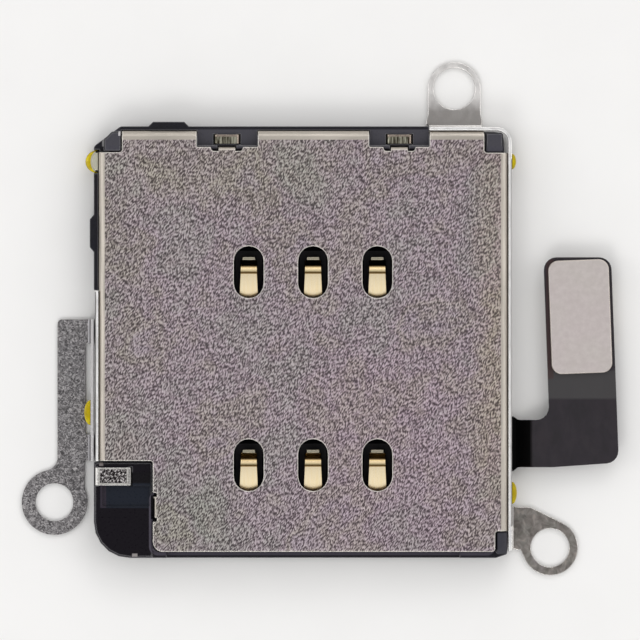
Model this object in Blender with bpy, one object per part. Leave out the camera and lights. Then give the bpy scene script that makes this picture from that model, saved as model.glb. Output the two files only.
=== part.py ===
# Push-pull card socket for a handheld device, with its steel mounting frame and flex tail.
# Frame: X across the card, +Y away from the mouth where the tray goes in, +Z up out of the cover.
# The origin is in the middle of the cover's outline, on the underside that the part rests on.
# Sizes are in millimetres, and MM turns them into Blender's metres.

import math

import bmesh
import bpy
from mathutils import Matrix, Vector
from mathutils.geometry import tessellate_polygon

MM = 0.001

# Main sizes of the cover in plan, from which every other place follows
COVER_WIDTH = 16.16
COVER_DEPTH = 16.62
HALF_WIDTH = COVER_WIDTH / 2
HALF_DEPTH = COVER_DEPTH / 2

# Card and contacts
CONTACT_PITCH = 2.54
ROW_SPACING = 7.62
CONTACT_MID_X = 0.38
CONTACT_MID_Y = -HALF_DEPTH + 7.21
CARD_SLOT_WIDTH = 11.6
CARD_SLOT_HEIGHT = 0.76
SLOT_LEFT = CONTACT_MID_X - CARD_SLOT_WIDTH / 2
SLOT_RIGHT = CONTACT_MID_X + CARD_SLOT_WIDTH / 2
SLOT_END_Y = HALF_DEPTH - 2.69

# Running clearances and the gap kept between parts that sit on each other
FIT = 0.03
SEAT = 0.01

# Frame sheet
FRAME_SHEET = 0.13
FRAME_BEND = 0.23
FRAME_TOP = 1.50
FRAME_TO_COVER = 0.02

# Housing levels above the underside
FLEX_FILM = 0.10
HOUSING_BOTTOM = FRAME_SHEET + SEAT
FLEX_TOP = HOUSING_BOTTOM + FLEX_FILM
FLOOR_THICKNESS = 0.58
FLOOR_TOP = HOUSING_BOTTOM + FLOOR_THICKNESS
COVER_UNDERSIDE = FLOOR_TOP + CARD_SLOT_HEIGHT
CORE_TOP = COVER_UNDERSIDE - SEAT

# Cover
COVER_SHEET = 0.12
COVER_BEND = 0.26
COVER_TOP = COVER_UNDERSIDE + COVER_SHEET
COVER_SKIRT_BOTTOM = 0.45
POST_TOP = COVER_TOP - 0.04
BLOCK_TOP = COVER_TOP - 0.20
LIP_TOP = COVER_TOP - 0.35
WINDOW_WIDTH = 1.18
WINDOW_LENGTH = 2.06
WINDOW_SHIFT = 0.02
TAB_WIDTH = 0.66
TAB_RELIEF = 0.30
TAB_BEND = 0.16
TAB_DROP = 0.45
SIDE_TAB_WIDTH = 0.83
SIDE_TAB_RELIEF = 0.16
NOTCH_DEPTH = 0.64
NOTCH_REACH = 1.20
CUT_ROUND = 0.12
COVER_CORNER = 0.38
LEFT_TAB_X = -HALF_WIDTH + 5.06
RIGHT_TAB_X = HALF_WIDTH - 4.29
LEFT_NOTCH = (LEFT_TAB_X - NOTCH_REACH, LEFT_TAB_X + NOTCH_REACH + 0.03)
RIGHT_NOTCH = (RIGHT_TAB_X - NOTCH_REACH, RIGHT_TAB_X + NOTCH_REACH)
SIDE_TAB_Y = -HALF_DEPTH + 1.755
BACK_LEFT_CUT = (-HALF_WIDTH + 0.92, HALF_DEPTH - 0.85)
BACK_RIGHT_CUT = (HALF_WIDTH - 0.94, HALF_DEPTH - 0.87)
FRONT_RIGHT_CUT = (HALF_WIDTH - 0.51, -HALF_DEPTH + 0.81)
FRONT_LEFT_CUT = (-HALF_WIDTH + 2.14, -HALF_DEPTH + 3.59)

# Housing plan
SKIRT_INSIDE_X = HALF_WIDTH - COVER_SHEET
SKIRT_INSIDE_Y = HALF_DEPTH - COVER_SHEET
CORE_X = SKIRT_INSIDE_X - FIT
CORE_BACK = SKIRT_INSIDE_Y - FIT
PARTING = 0.02
MOULD_EDGE = 0.05
LIP_WALL = 0.15
LIP_X = HALF_WIDTH + FIT + LIP_WALL + PARTING
LIP_BACK = HALF_DEPTH + FIT + LIP_WALL
HOUSING_FRONT = -HALF_DEPTH - 0.25
FRONT_CORNER = 1.42
BACK_CORNER = (1.06, 0.79)
BACK_BUMP = (-HALF_WIDTH + 2.05, -HALF_WIDTH + 3.46)
BACK_BUMP_DEPTH = 0.18
LEFT_BUMP = (HALF_DEPTH - 4.69, HALF_DEPTH - 3.40)
LEFT_BUMP_DEPTH = 0.16
POST_ROUND = 0.08
POST_CUT = 0.32
STAKE_RADIUS = 0.36
STAKE_PLACES = ((-HALF_WIDTH + 1.73, -HALF_DEPTH + 1.71), (-HALF_WIDTH + 1.73, HALF_DEPTH - 4.91),
                (HALF_WIDTH - 1.48, HALF_DEPTH - 1.71), (CONTACT_MID_X - 0.78, HALF_DEPTH - 1.41))

# Screw ears
BACK_EAR = (HALF_WIDTH - 2.11, HALF_DEPTH + 1.69)
BACK_EAR_HOLE = 0.83
BACK_EAR_RADIUS = 1.04
RIGHT_EAR = (HALF_WIDTH + 1.68, -HALF_DEPTH + 0.14)
RIGHT_EAR_HOLE = 0.76
RIGHT_EAR_RADIUS = 1.10
LEFT_EAR = (-HALF_WIDTH - 1.775, -HALF_DEPTH + 1.94)
LEFT_EAR_HOLE = 0.745
LEFT_EAR_RADIUS = 1.30

# Frame walls, from back to front
FRAME_INSIDE_X = HALF_WIDTH + FRAME_TO_COVER
FRAME_OUTSIDE_X = FRAME_INSIDE_X + FRAME_SHEET
FRAME_INSIDE_Y = HALF_DEPTH + FRAME_TO_COVER
FRAME_OUTSIDE_Y = FRAME_INSIDE_Y + FRAME_SHEET
BASE_EDGE_X = FRAME_OUTSIDE_X - FRAME_BEND
EAR_ROOT = FRAME_BEND - FRAME_SHEET
BASE_RELIEF = 0.15
FRAME_WALL_START_X = BACK_EAR[0] - 0.99
BACK_EAR_END_X = BACK_EAR[0] + 1.09
FRAME_CORNER = 0.60
FRAME_WALL_END_Y = -HALF_DEPTH + 0.04
FOLD_BACK_Y = HALF_DEPTH - 1.31
FLEX_GATE = (-HALF_DEPTH + 5.46, -HALF_DEPTH + 3.06)
FLEX_GATE_TOP = 0.45
FLEX_GATE_EASE = 0.10
RIGHT_EAR_EDGE = (RIGHT_EAR[1] + 1.62, RIGHT_EAR[1] - 0.05)
LEFT_WALL = (HALF_DEPTH - 6.32, FRONT_LEFT_CUT[1] - 0.01)

# Left bracket
BRACKET_SHEET = 0.12
BRACKET_BEND = 0.18
BRACKET_GAP = 0.05
BRACKET_TOP = 1.42
BRACKET_FACE_X = -(FRAME_OUTSIDE_X + BRACKET_GAP + BRACKET_SHEET)
BRACKET_BACK = LEFT_EAR[1] + 7.24
BRACKET_FRONT = LEFT_EAR[1] + 1.64
BRACKET_LEFT = LEFT_EAR[0] + 0.115
BRACKET_NECK_X = LEFT_EAR[0] + 1.195
BRACKET_FILLET = 0.50
BRACKET_SLOT = (BRACKET_BACK - 0.96, BRACKET_FRONT + 1.04)
BRACKET_SLOT_X = LEFT_EAR[0] + 1.235

# Ejector
ROD_X = -HALF_WIDTH + 0.68
ROD_WIDTH = 0.65
ROD_BOTTOM = FLOOR_TOP + 0.06
ROD_HEIGHT = 0.42
ROD_FRONT = HOUSING_FRONT + 0.26
ROD_WAIST = 0.08
ROD_HEAD = 1.40
ROD_STROKE = 1.2
LEVER_PIVOT = (ROD_X + 3.50, HALF_DEPTH - 2.01)
LEVER_SHORT_ARM = LEVER_PIVOT[0] - ROD_X
LEVER_LONG_ARM = 4.45
LEVER_FINGER = 1.35
LEVER_WIDTH = 0.86
LEVER_END_RADIUS = 0.40
LEVER_TIP_RADIUS = 0.35
LEVER_HUB = 0.90
LEVER_BOTTOM = FLOOR_TOP + 0.08
LEVER_THICKNESS = 0.42
LEVER_SWING = ROD_STROKE / LEVER_SHORT_ARM
PIN_RADIUS = 0.38
PIN_HEAD_RADIUS = 0.62
PIN_HEAD_HEIGHT = 0.10
PIN_SINK = 0.24

# Springs: the sheet stands on edge, and places are measured from each spring's root
SPRING_SHEET = 0.09
SPRING_LIFT = 0.13
LATCH_ROOT = (SLOT_RIGHT + 0.77, -HALF_DEPTH + 6.26)
LATCH_HEIGHT = 0.48
LATCH_REACH = 0.18
LATCH_BUMP = 2.05
LATCH_RECESS = 1.05
DETECT_ROOT = (SLOT_RIGHT - 0.30, SLOT_END_Y + 1.34)
DETECT_HEIGHT = 0.44
DETECT_RECESS = 2.90

# Contacts, measured from the contact point along -Y
CONTACT_SHEET = 0.10
CONTACT_ARM = 2.65
CONTACT_FOOT = 0.60
CONTACT_FOOT_WIDTH = 0.55
CONTACT_ROOT_WIDTH = 0.76
CONTACT_TIP_WIDTH = 0.66
CONTACT_LIP_WIDTH = 0.50
CONTACT_TAPER = 1.00
CONTACT_FREE_HEIGHT = 0.46
CONTACT_POCKET_WIDTH = 1.06
# Knees of the arm as (distance before the contact point, depth below the crest)
CONTACT_KNEES = ((1.15, 0.14), (1.00, 0.11), (0.50, 0.045))
CONTACT_ROUND = 0.42
CONTACT_FACE_TILT = math.radians(5)
CONTACT_DROP = math.radians(26)
# Past the crest: straight run, radius of the bend after it and how steeply the strip falls from there
CONTACT_TAIL = ((0.062, 0.08, math.radians(50)), (0.286, 0.10, 0.0))
CONTACT_LIP = 0.10

# Plug at the end of the flex
FLEX_TAIL_TOP = 0.80
PLUG_TILT = math.radians(2.1)
PLUG_CENTRE = (HALF_WIDTH + 2.86, -HALF_DEPTH + 9.28)
PLUG_WIDTH = 1.90
PLUG_LENGTH = 3.90
PLUG_PITCH = 0.40
PLUG_PER_SIDE = 6
PLUG_TOP = FLEX_TAIL_TOP - FLEX_FILM - SEAT
PLUG_BOTTOM = 0.06
PLUG_DECK = 0.20
PLUG_WALL = 0.30
PLUG_RAIL_OUT = PLUG_WIDTH / 2 - 0.09
PLUG_RAIL_END = PLUG_LENGTH / 2 - 0.12
PLUG_END_WALL = 0.42
TERMINAL_SHEET = 0.05
TERMINAL_WIDTH = 0.20
TERMINAL_TAIL = 0.30
NAIL_HALF_WIDTH = PLUG_WIDTH / 2 - 0.33
NAIL_SHEET = 0.06
STIFFENER_SIZE = (PLUG_WIDTH + 0.50, PLUG_LENGTH + 0.59)
STIFFENER_SHEET = 0.15
STIFFENER_ROUND = 0.40

# Flex circuit: body under the housing, ramp beside it and tail under the stiffener
FLEX_GATE_Y = (FLEX_GATE[1] + 0.11, FLEX_GATE[0] - 0.12)
FLEX_RAMP = (HALF_WIDTH + 0.22, HALF_WIDTH + 1.07)
FLEX_RAMP_STEPS = 9
FLEX_BODY = (CONTACT_MID_X - 3.48, -HALF_DEPTH + 0.26, HALF_WIDTH - 0.33, CONTACT_MID_Y + 5.30)
FLEX_ROUND = 0.30
TAIL_ROUND = 0.50
TAIL_LEFT = PLUG_CENTRE[0] - 1.22
TAIL_RIGHT = PLUG_CENTRE[0] + 1.53
TAIL_BACK = PLUG_CENTRE[1] + 2.35

# Small clips let into the plastic: middle and plan size
CLIP_SHEET = 0.10
CLIP_BEND = 0.14
CLIP_LEG = 0.40
ROD_CLIP = ((ROD_X - 0.11, FRONT_LEFT_CUT[1] - 0.62), (1.45, 0.70))
LOCK_CLIP_Y = HALF_DEPTH - 0.325
LOCK_CLIP_SIZE = (1.02, 0.35)

# Corner block: rim kept beside the cover, and the pane behind the clip
BLOCK_RIM = 0.13
PANE = (-LIP_X + 0.34, ROD_CLIP[0][1] - 1.18, ROD_CLIP[0][1] - 0.37)
PANE_DEPTH = 0.10

# Adhesive dots as place, length, reach, bottom and top
GLUE_LEFT_BACK = (HALF_DEPTH - 1.21, 0.92, 0.50, 0.47, 0.70)
GLUE_BRACKET = (-HALF_DEPTH + 5.49, 1.00, 0.26, 0.34, 0.66)
GLUE_RIGHT_BACK = (HALF_DEPTH - 1.205, 0.62, 0.17, 0.55, 0.95)
GLUE_RIGHT_FRONT = (-HALF_DEPTH + 2.315, 0.88, 0.20, 0.55, 0.95)
LUG = (HALF_DEPTH - 1.21, 0.86, 0.29, 0.71, 1.20)
LUG_BAY = (HALF_DEPTH - 1.68, HALF_DEPTH - 0.73)

# Rounding
ARC_STEPS = 5
RING_STEPS = 36


def clear_scene():
    for item in list(bpy.data.objects):
        bpy.data.objects.remove(item, do_unlink=True)


def material(name, colour, metallic, roughness):
    made = bpy.data.materials.new(name)
    made.use_nodes = True
    shader = made.node_tree.nodes["Principled BSDF"]
    shader.inputs["Base Color"].default_value = (*colour, 1.0)
    shader.inputs["Metallic"].default_value = metallic
    shader.inputs["Roughness"].default_value = roughness
    made.diffuse_color = (*colour, 1.0)
    return made


# Plan outlines

def rounded(corners, steps=ARC_STEPS):
    # Each corner is (x, y, radius), and a radius above zero becomes an arc.
    points = []
    count = len(corners)
    for index, (x, y, radius) in enumerate(corners):
        here = Vector((x, y))
        if radius <= 0:
            points.append((x, y))
            continue
        before = (Vector(corners[index - 1][:2]) - here).normalized()
        after = (Vector(corners[(index + 1) % count][:2]) - here).normalized()
        half = before.angle(after) / 2
        centre = here + (before + after).normalized() * (radius / math.sin(half))
        start = here + before * (radius / math.tan(half)) - centre
        end = here + after * (radius / math.tan(half)) - centre
        first = math.atan2(start.y, start.x)
        sweep = (math.atan2(end.y, end.x) - first + math.pi) % (2 * math.pi) - math.pi
        for step in range(steps + 1):
            angle = first + sweep * step / steps
            points.append((centre.x + radius * math.cos(angle), centre.y + radius * math.sin(angle)))
    return points


def arc(centre, radius, start, end, steps):
    # Angles in degrees, anticlockwise when end is above start.
    points = []
    for step in range(steps + 1):
        angle = math.radians(start + (end - start) * step / steps)
        points.append((centre[0] + radius * math.cos(angle), centre[1] + radius * math.sin(angle)))
    return points


def circle(centre, radius, steps=RING_STEPS):
    return arc(centre, radius, 0, 360 - 360 / steps, steps - 1)


def stadium(centre, width, length, steps=10):
    reach = (length - width) / 2
    back = arc((centre[0], centre[1] + reach), width / 2, 0, 180, steps)
    front = arc((centre[0], centre[1] - reach), width / 2, 180, 360, steps)
    return back + front


def rectangle(left, front, right, back, radius=0.0):
    corners = [(left, front, radius), (right, front, radius), (right, back, radius), (left, back, radius)]
    return rounded(corners, 3)


def turned(points, centre, angle):
    cos, sin = math.cos(angle), math.sin(angle)
    return [(centre[0] + x * cos - y * sin, centre[1] + x * sin + y * cos) for x, y in points]


def area_sign(points):
    total = 0.0
    for (x0, y0), (x1, y1) in zip(points, points[1:] + points[:1]):
        total += x0 * y1 - x1 * y0
    return 1 if total > 0 else -1


def inset(points, distance):
    # Anticlockwise outline moved inwards by a distance, with mitred corners.
    result = []
    for index, point in enumerate(points):
        here = Vector(point)
        before = (here - Vector(points[index - 1])).normalized()
        after = (Vector(points[(index + 1) % len(points)]) - here).normalized()
        first = Vector((-before.y, before.x))
        second = Vector((-after.y, after.x))
        move = (first + second) * (distance / (1 + first.dot(second)))
        result.append((here.x + move.x, here.y + move.y))
    return result


def plan_triangles(outline, holes):
    loops = [outline] + list(holes)
    points = [point for loop in loops for point in loop]
    result = []
    for triangle in tessellate_polygon([[Vector((x, y, 0)) for x, y in loop] for loop in loops]):
        corners = [points[index] for index in triangle]
        result.append(corners if area_sign(corners) > 0 else corners[::-1])
    return result


# Solids

def add_object(name, mesh_data, finish, origin=(0, 0, 0), smooth=True):
    mesh = bpy.data.meshes.new(name)
    bmesh.ops.recalc_face_normals(mesh_data, faces=mesh_data.faces)
    mesh_data.to_mesh(mesh)
    mesh_data.free()
    mesh.transform(Matrix.Translation(Vector(origin) * -MM))
    mesh.materials.append(finish)
    if smooth:
        mesh.shade_smooth()
        mesh.set_sharp_from_angle(angle=math.radians(32))
    item = bpy.data.objects.new(name, mesh)
    item.location = Vector(origin) * MM
    bpy.context.scene.collection.objects.link(item)
    return item


def solid_mesh(faces):
    # Faces are lists of points in millimetres, and points in the same place are one vertex.
    result = bmesh.new()
    found = {}
    for face in faces:
        corners = []
        for point in face:
            key = tuple(round(value, 5) for value in point)
            if key not in found:
                found[key] = result.verts.new([value * MM for value in point])
            corners.append(found[key])
        if len(set(corners)) >= 3:
            result.faces.new(corners)
    return result


def prism_faces(outline, bottom, top, holes=()):
    faces = []
    if holes:
        for triangle in plan_triangles(outline, holes):
            faces.append([(x, y, top) for x, y in triangle])
            faces.append([(x, y, bottom) for x, y in triangle[::-1]])
    else:
        faces.append([(x, y, top) for x, y in outline])
        faces.append([(x, y, bottom) for x, y in outline[::-1]])
    for loop in [outline] + list(holes):
        for (x0, y0), (x1, y1) in zip(loop, loop[1:] + loop[:1]):
            faces.append([(x0, y0, bottom), (x1, y1, bottom), (x1, y1, top), (x0, y0, top)])
    return faces


def chamfered_faces(outline, bottom, top, edge):
    # A prism whose upper edge is cut back by the same amount inwards and down.
    if area_sign(outline) < 0:
        outline = outline[::-1]
    upper = inset(outline, edge)
    faces = [[(x, y, top) for x, y in upper], [(x, y, bottom) for x, y in outline[::-1]]]
    count = len(outline)
    for index in range(count):
        nearby = (index + 1) % count
        (x0, y0), (x1, y1) = outline[index], outline[nearby]
        (u0, v0), (u1, v1) = upper[index], upper[nearby]
        faces.append([(x0, y0, bottom), (x1, y1, bottom), (x1, y1, top - edge), (x0, y0, top - edge)])
        faces.append([(x0, y0, top - edge), (x1, y1, top - edge), (u1, v1, top), (u0, v0, top)])
    return faces


def prism(name, outline, bottom, top, finish, holes=(), origin=(0, 0, 0)):
    return add_object(name, solid_mesh(prism_faces(outline, bottom, top, holes)), finish, origin)


def soften(item, width, segments=1):
    edge = item.modifiers.new("edge_break", "BEVEL")
    edge.width = width * MM
    edge.segments = segments
    edge.limit_method = "ANGLE"
    edge.angle_limit = math.radians(40)
    edge.use_clamp_overlap = True
    return item


# Bent sheet: each patch vertex is a pair of points, one on the sheet's show face and one behind it

def flat_patch(outline, holes, show, back):
    patches = []
    for triangle in plan_triangles(outline, holes):
        patches.append([((x, y, show), (x, y, back)) for x, y in triangle])
    return patches


def bend_pairs(point, out, level, radius, sheet, down, steps=ARC_STEPS):
    # Point pairs from a flat edge round a quarter bend. The show face is on the outside of the bend.
    pairs = []
    side = -1 if down else 1
    for step in range(steps + 1):
        angle = math.pi / 2 * step / steps
        pair = []
        for reach in (radius, radius - sheet):
            across = reach * math.sin(angle)
            rise = level + side * (radius - reach * math.cos(angle))
            pair.append((point[0] + out[0] * across, point[1] + out[1] * across, rise))
        pairs.append(tuple(pair))
    return pairs


def strip(first, second):
    return [[first[k], second[k], second[k + 1], first[k + 1]] for k in range(len(first) - 1)]


def skirt(start, end, out, level, radius, sheet, bottom):
    # A flat edge from start to end folded down to the level called bottom.
    columns = []
    for point in (start, end):
        column = bend_pairs(point, out, level, radius, sheet, True)
        outer, inner = column[-1]
        column.append(((outer[0], outer[1], bottom), (inner[0], inner[1], bottom)))
        columns.append(column)
    return strip(*columns)


def sheet_solid(patches):
    faces = []
    edges = {}
    for patch in patches:
        faces.append([pair[0] for pair in patch])
        faces.append([pair[1] for pair in reversed(patch)])
        for first, second in zip(patch, patch[1:] + patch[:1]):
            ends = [tuple(round(value, 5) for value in pair[0]) for pair in (first, second)]
            key = tuple(sorted(ends))
            edges.setdefault(key, []).append((first, second))
    for uses in edges.values():
        if len(uses) == 1:
            first, second = uses[0]
            faces.append([first[0], second[0], second[1], first[1]])
    return solid_mesh(faces)


# Cover

def notch_corners(limits, tab_x, bend_back):
    # Corners of one back notch, from right to left, with its latch tab between two reliefs.
    left, right = limits
    floor = HALF_DEPTH - NOTCH_DEPTH
    fold = floor - TAB_BEND
    half = TAB_WIDTH / 2
    return [
        (right, bend_back, 0), (right, floor, CUT_ROUND / 2),
        (tab_x + half + TAB_RELIEF, floor, CUT_ROUND / 4), (tab_x + half + TAB_RELIEF, fold, CUT_ROUND),
        (tab_x + half, fold, 0), (tab_x - half, fold, 0),
        (tab_x - half - TAB_RELIEF, fold, CUT_ROUND), (tab_x - half - TAB_RELIEF, floor, CUT_ROUND / 4),
        (left, floor, CUT_ROUND / 2), (left, bend_back, 0),
    ]


def build_cover(finish):
    side = HALF_WIDTH - COVER_BEND
    back = HALF_DEPTH - COVER_BEND
    fold = FRONT_LEFT_CUT[0] + TAB_BEND
    half = SIDE_TAB_WIDTH / 2
    reach = half + SIDE_TAB_RELIEF
    corners = [
        (FRONT_LEFT_CUT[0], -HALF_DEPTH, COVER_CORNER), (FRONT_RIGHT_CUT[0], -HALF_DEPTH, CUT_ROUND),
        (FRONT_RIGHT_CUT[0], FRONT_RIGHT_CUT[1], CUT_ROUND), (side, FRONT_RIGHT_CUT[1], 0),
        (side, BACK_RIGHT_CUT[1], 0), (BACK_RIGHT_CUT[0], BACK_RIGHT_CUT[1], CUT_ROUND),
        (BACK_RIGHT_CUT[0], back, 0),
    ]
    corners += notch_corners(RIGHT_NOTCH, RIGHT_TAB_X, back)
    corners += notch_corners(LEFT_NOTCH, LEFT_TAB_X, back)
    corners += [
        (BACK_LEFT_CUT[0], back, 0), (BACK_LEFT_CUT[0], BACK_LEFT_CUT[1], CUT_ROUND),
        (-side, BACK_LEFT_CUT[1], 0), (-side, FRONT_LEFT_CUT[1], 0),
        (FRONT_LEFT_CUT[0], FRONT_LEFT_CUT[1], CUT_ROUND),
        (FRONT_LEFT_CUT[0], SIDE_TAB_Y + reach, CUT_ROUND / 4),
        (fold, SIDE_TAB_Y + reach, CUT_ROUND / 2),
        (fold, SIDE_TAB_Y + half, 0), (fold, SIDE_TAB_Y - half, 0),
        (fold, SIDE_TAB_Y - reach, CUT_ROUND / 2),
        (FRONT_LEFT_CUT[0], SIDE_TAB_Y - reach, CUT_ROUND / 4),
    ]
    windows = [stadium((x, y + WINDOW_SHIFT), WINDOW_WIDTH, WINDOW_LENGTH) for x, y in contact_points()]
    patches = flat_patch(rounded(corners), windows, COVER_TOP, COVER_UNDERSIDE)
    skirts = [
        ((side, FRONT_RIGHT_CUT[1]), (side, BACK_RIGHT_CUT[1]), (1, 0)),
        ((-side, BACK_LEFT_CUT[1]), (-side, FRONT_LEFT_CUT[1]), (-1, 0)),
        ((BACK_RIGHT_CUT[0], back), (RIGHT_NOTCH[1], back), (0, 1)),
        ((RIGHT_NOTCH[0], back), (LEFT_NOTCH[1], back), (0, 1)),
        ((LEFT_NOTCH[0], back), (BACK_LEFT_CUT[0], back), (0, 1)),
    ]
    for start, end, out in skirts:
        patches += skirt(start, end, out, COVER_TOP, COVER_BEND, COVER_SHEET, COVER_SKIRT_BOTTOM)
    tab_bottom = COVER_TOP - TAB_BEND - TAB_DROP
    tab_fold = HALF_DEPTH - NOTCH_DEPTH - TAB_BEND
    tabs = [((fold, SIDE_TAB_Y + half), (fold, SIDE_TAB_Y - half), (-1, 0))]
    for x in (LEFT_TAB_X, RIGHT_TAB_X):
        tabs.append(((x + TAB_WIDTH / 2, tab_fold), (x - TAB_WIDTH / 2, tab_fold), (0, 1)))
    for start, end, out in tabs:
        patches += skirt(start, end, out, COVER_TOP, TAB_BEND, COVER_SHEET, tab_bottom)
    return add_object("top_shell", sheet_solid(patches), finish)


# Frame

def wall_pairs(plan, level):
    outer, inner = plan
    return ((outer[0], outer[1], level), (inner[0], inner[1], level))


def frame_wall(path, gates, levels):
    # Upright wall along a plan path of (outer, inner) points. Spans in gates start one level higher.
    patches = []
    for index in range(len(path) - 1):
        first = 1 if index in gates else 0
        for row in range(first, len(levels) - 1):
            patches.append([
                wall_pairs(path[index], levels[row]), wall_pairs(path[index + 1], levels[row]),
                wall_pairs(path[index + 1], levels[row + 1]), wall_pairs(path[index], levels[row + 1]),
            ])
    return patches


def side_wall_point(y, side):
    return ((side * FRAME_OUTSIDE_X, y), (side * FRAME_INSIDE_X, y))


def base_bend(start, end, side):
    columns = []
    for y in (start, end):
        columns.append(bend_pairs((side * BASE_EDGE_X, y), (side, 0), 0.0, FRAME_BEND, FRAME_SHEET, False))
    return strip(*columns)


def ear_bend(start, end, out, sheet, radius):
    # From the wall's foot outwards. The show face is the hollow side, which becomes the ear's top.
    # Start and end are plan points on the wall's outer face.
    columns = []
    for point in (start, end):
        column = []
        for step in range(ARC_STEPS + 1):
            angle = math.pi / 2 * step / ARC_STEPS
            pair = []
            for reach in (radius, radius + sheet):
                across = radius - reach * math.cos(angle)
                rise = radius + sheet - reach * math.sin(angle)
                pair.append((point[0] + out[0] * across, point[1] + out[1] * across, rise))
            column.append(tuple(pair))
        columns.append(column)
    return strip(*columns)


def frame_base_outline():
    relief = BASE_EDGE_X - BASE_RELIEF
    back = FRAME_INSIDE_Y - BASE_RELIEF
    front = HOUSING_FRONT + 0.36
    fold_front = RIGHT_EAR_EDGE[0] + BASE_RELIEF
    gate_back, gate_front = FLEX_GATE[0] + FLEX_GATE_EASE, FLEX_GATE[1] - FLEX_GATE_EASE
    return rounded([
        (-BASE_EDGE_X, front, FRONT_CORNER - CUT_ROUND), (relief, front, CUT_ROUND),
        (relief, fold_front, CUT_ROUND / 2), (BASE_EDGE_X, fold_front, 0),
        (BASE_EDGE_X, gate_front, 0), (BASE_EDGE_X, gate_back, 0),
        (BASE_EDGE_X, FOLD_BACK_Y, 0), (relief, FOLD_BACK_Y, CUT_ROUND / 2),
        (relief, back, 0.30), (-HALF_WIDTH + 0.78, back, 0.30), (-BASE_EDGE_X, back - 0.68, 0.30),
        (-BASE_EDGE_X, LEFT_WALL[0], 0), (-BASE_EDGE_X, LEFT_WALL[1], 0),
    ])


def build_frame(finish):
    levels = (FRAME_BEND, FLEX_GATE_TOP, FRAME_TOP)
    gate_back, gate_front = FLEX_GATE
    fold_front = RIGHT_EAR_EDGE[0] + BASE_RELIEF
    path = [((x, FRAME_OUTSIDE_Y), (x, FRAME_INSIDE_Y)) for x in (FRAME_WALL_START_X, BACK_EAR_END_X)]
    turn = (FRAME_OUTSIDE_X - FRAME_CORNER, FRAME_OUTSIDE_Y - FRAME_CORNER)
    outer = arc(turn, FRAME_CORNER, 90, 0, 6)
    inner = arc(turn, FRAME_CORNER - FRAME_SHEET, 90, 0, 6)
    path += list(zip(outer, inner))
    stops = [FOLD_BACK_Y, gate_back + FLEX_GATE_EASE, gate_back, gate_front, gate_front - FLEX_GATE_EASE,
             fold_front, RIGHT_EAR_EDGE[0], RIGHT_EAR_EDGE[1], FRAME_WALL_END_Y]
    gate_span = len(path) + stops.index(gate_back)
    path += [side_wall_point(y, 1) for y in stops]
    patches = frame_wall(path, (gate_span,), levels)
    patches += base_bend(FOLD_BACK_Y, gate_back + FLEX_GATE_EASE, 1)
    patches += base_bend(gate_front - FLEX_GATE_EASE, fold_front, 1)
    left = [side_wall_point(y, -1) for y in LEFT_WALL]
    patches += frame_wall(left, (), (FRAME_BEND, FRAME_TOP))
    patches += base_bend(LEFT_WALL[0], LEFT_WALL[1], -1)
    holes = [circle(place, STAKE_RADIUS + FIT, 20) for place in STAKE_PLACES]
    patches += flat_patch(frame_base_outline(), holes, 0.0, FRAME_SHEET)
    patches += back_ear_patches()
    patches += right_ear_patches()
    return add_object("mounting_frame", sheet_solid(patches), finish)


def back_ear_patches():
    root = FRAME_OUTSIDE_Y + EAR_ROOT
    x, y = BACK_EAR
    reach = BACK_EAR_RADIUS
    outline = [(FRAME_WALL_START_X, root), (BACK_EAR_END_X, root)]
    outline += rounded([(BACK_EAR_END_X, root, 0), (BACK_EAR_END_X + 0.02, root + 0.16, 0.08),
                        (x + reach, root + 0.42, 0.15), (x + reach, y, 0)])[1:-1]
    outline += arc(BACK_EAR, reach, 0, 180, RING_STEPS // 2)
    flare = FRAME_WALL_START_X - 0.12
    outline += rounded([(x - reach, y, 0), (x - reach, root + 0.42, 0.15),
                        (flare, root + 0.16, 0.08), (flare, root, 0)])[1:]
    start = (FRAME_WALL_START_X, FRAME_OUTSIDE_Y)
    end = (BACK_EAR_END_X, FRAME_OUTSIDE_Y)
    patches = ear_bend(start, end, (0, 1), FRAME_SHEET, EAR_ROOT)
    patches += flat_patch(outline, [circle(BACK_EAR, BACK_EAR_HOLE)], FRAME_SHEET, 0.0)
    return patches


def right_ear_patches():
    root = FRAME_OUTSIDE_X + EAR_ROOT
    x, y = RIGHT_EAR
    back, front = RIGHT_EAR_EDGE
    reach = RIGHT_EAR_RADIUS
    touch = math.radians(64)
    meet = (x + reach * math.cos(touch), y + reach * math.sin(touch))
    run = 1.42
    knee = (meet[0] - run * math.sin(touch), meet[1] + run * math.cos(touch))
    outline = [(root, back)]
    outline += rounded([(root, back, 0), (knee[0], knee[1], 0.60), (meet[0], meet[1], 0)])[1:-1]
    outline += arc(RIGHT_EAR, reach, 64, -161, RING_STEPS * 3 // 4)
    outline += rounded([(x - reach, y, 0), (root + 0.20, front - 0.05, 0.12), (root, front, 0)])[1:]
    start = (FRAME_OUTSIDE_X, back)
    end = (FRAME_OUTSIDE_X, front)
    patches = ear_bend(start, end, (1, 0), FRAME_SHEET, EAR_ROOT)
    patches += flat_patch(outline, [circle(RIGHT_EAR, RIGHT_EAR_HOLE)], FRAME_SHEET, 0.0)
    return patches


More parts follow.
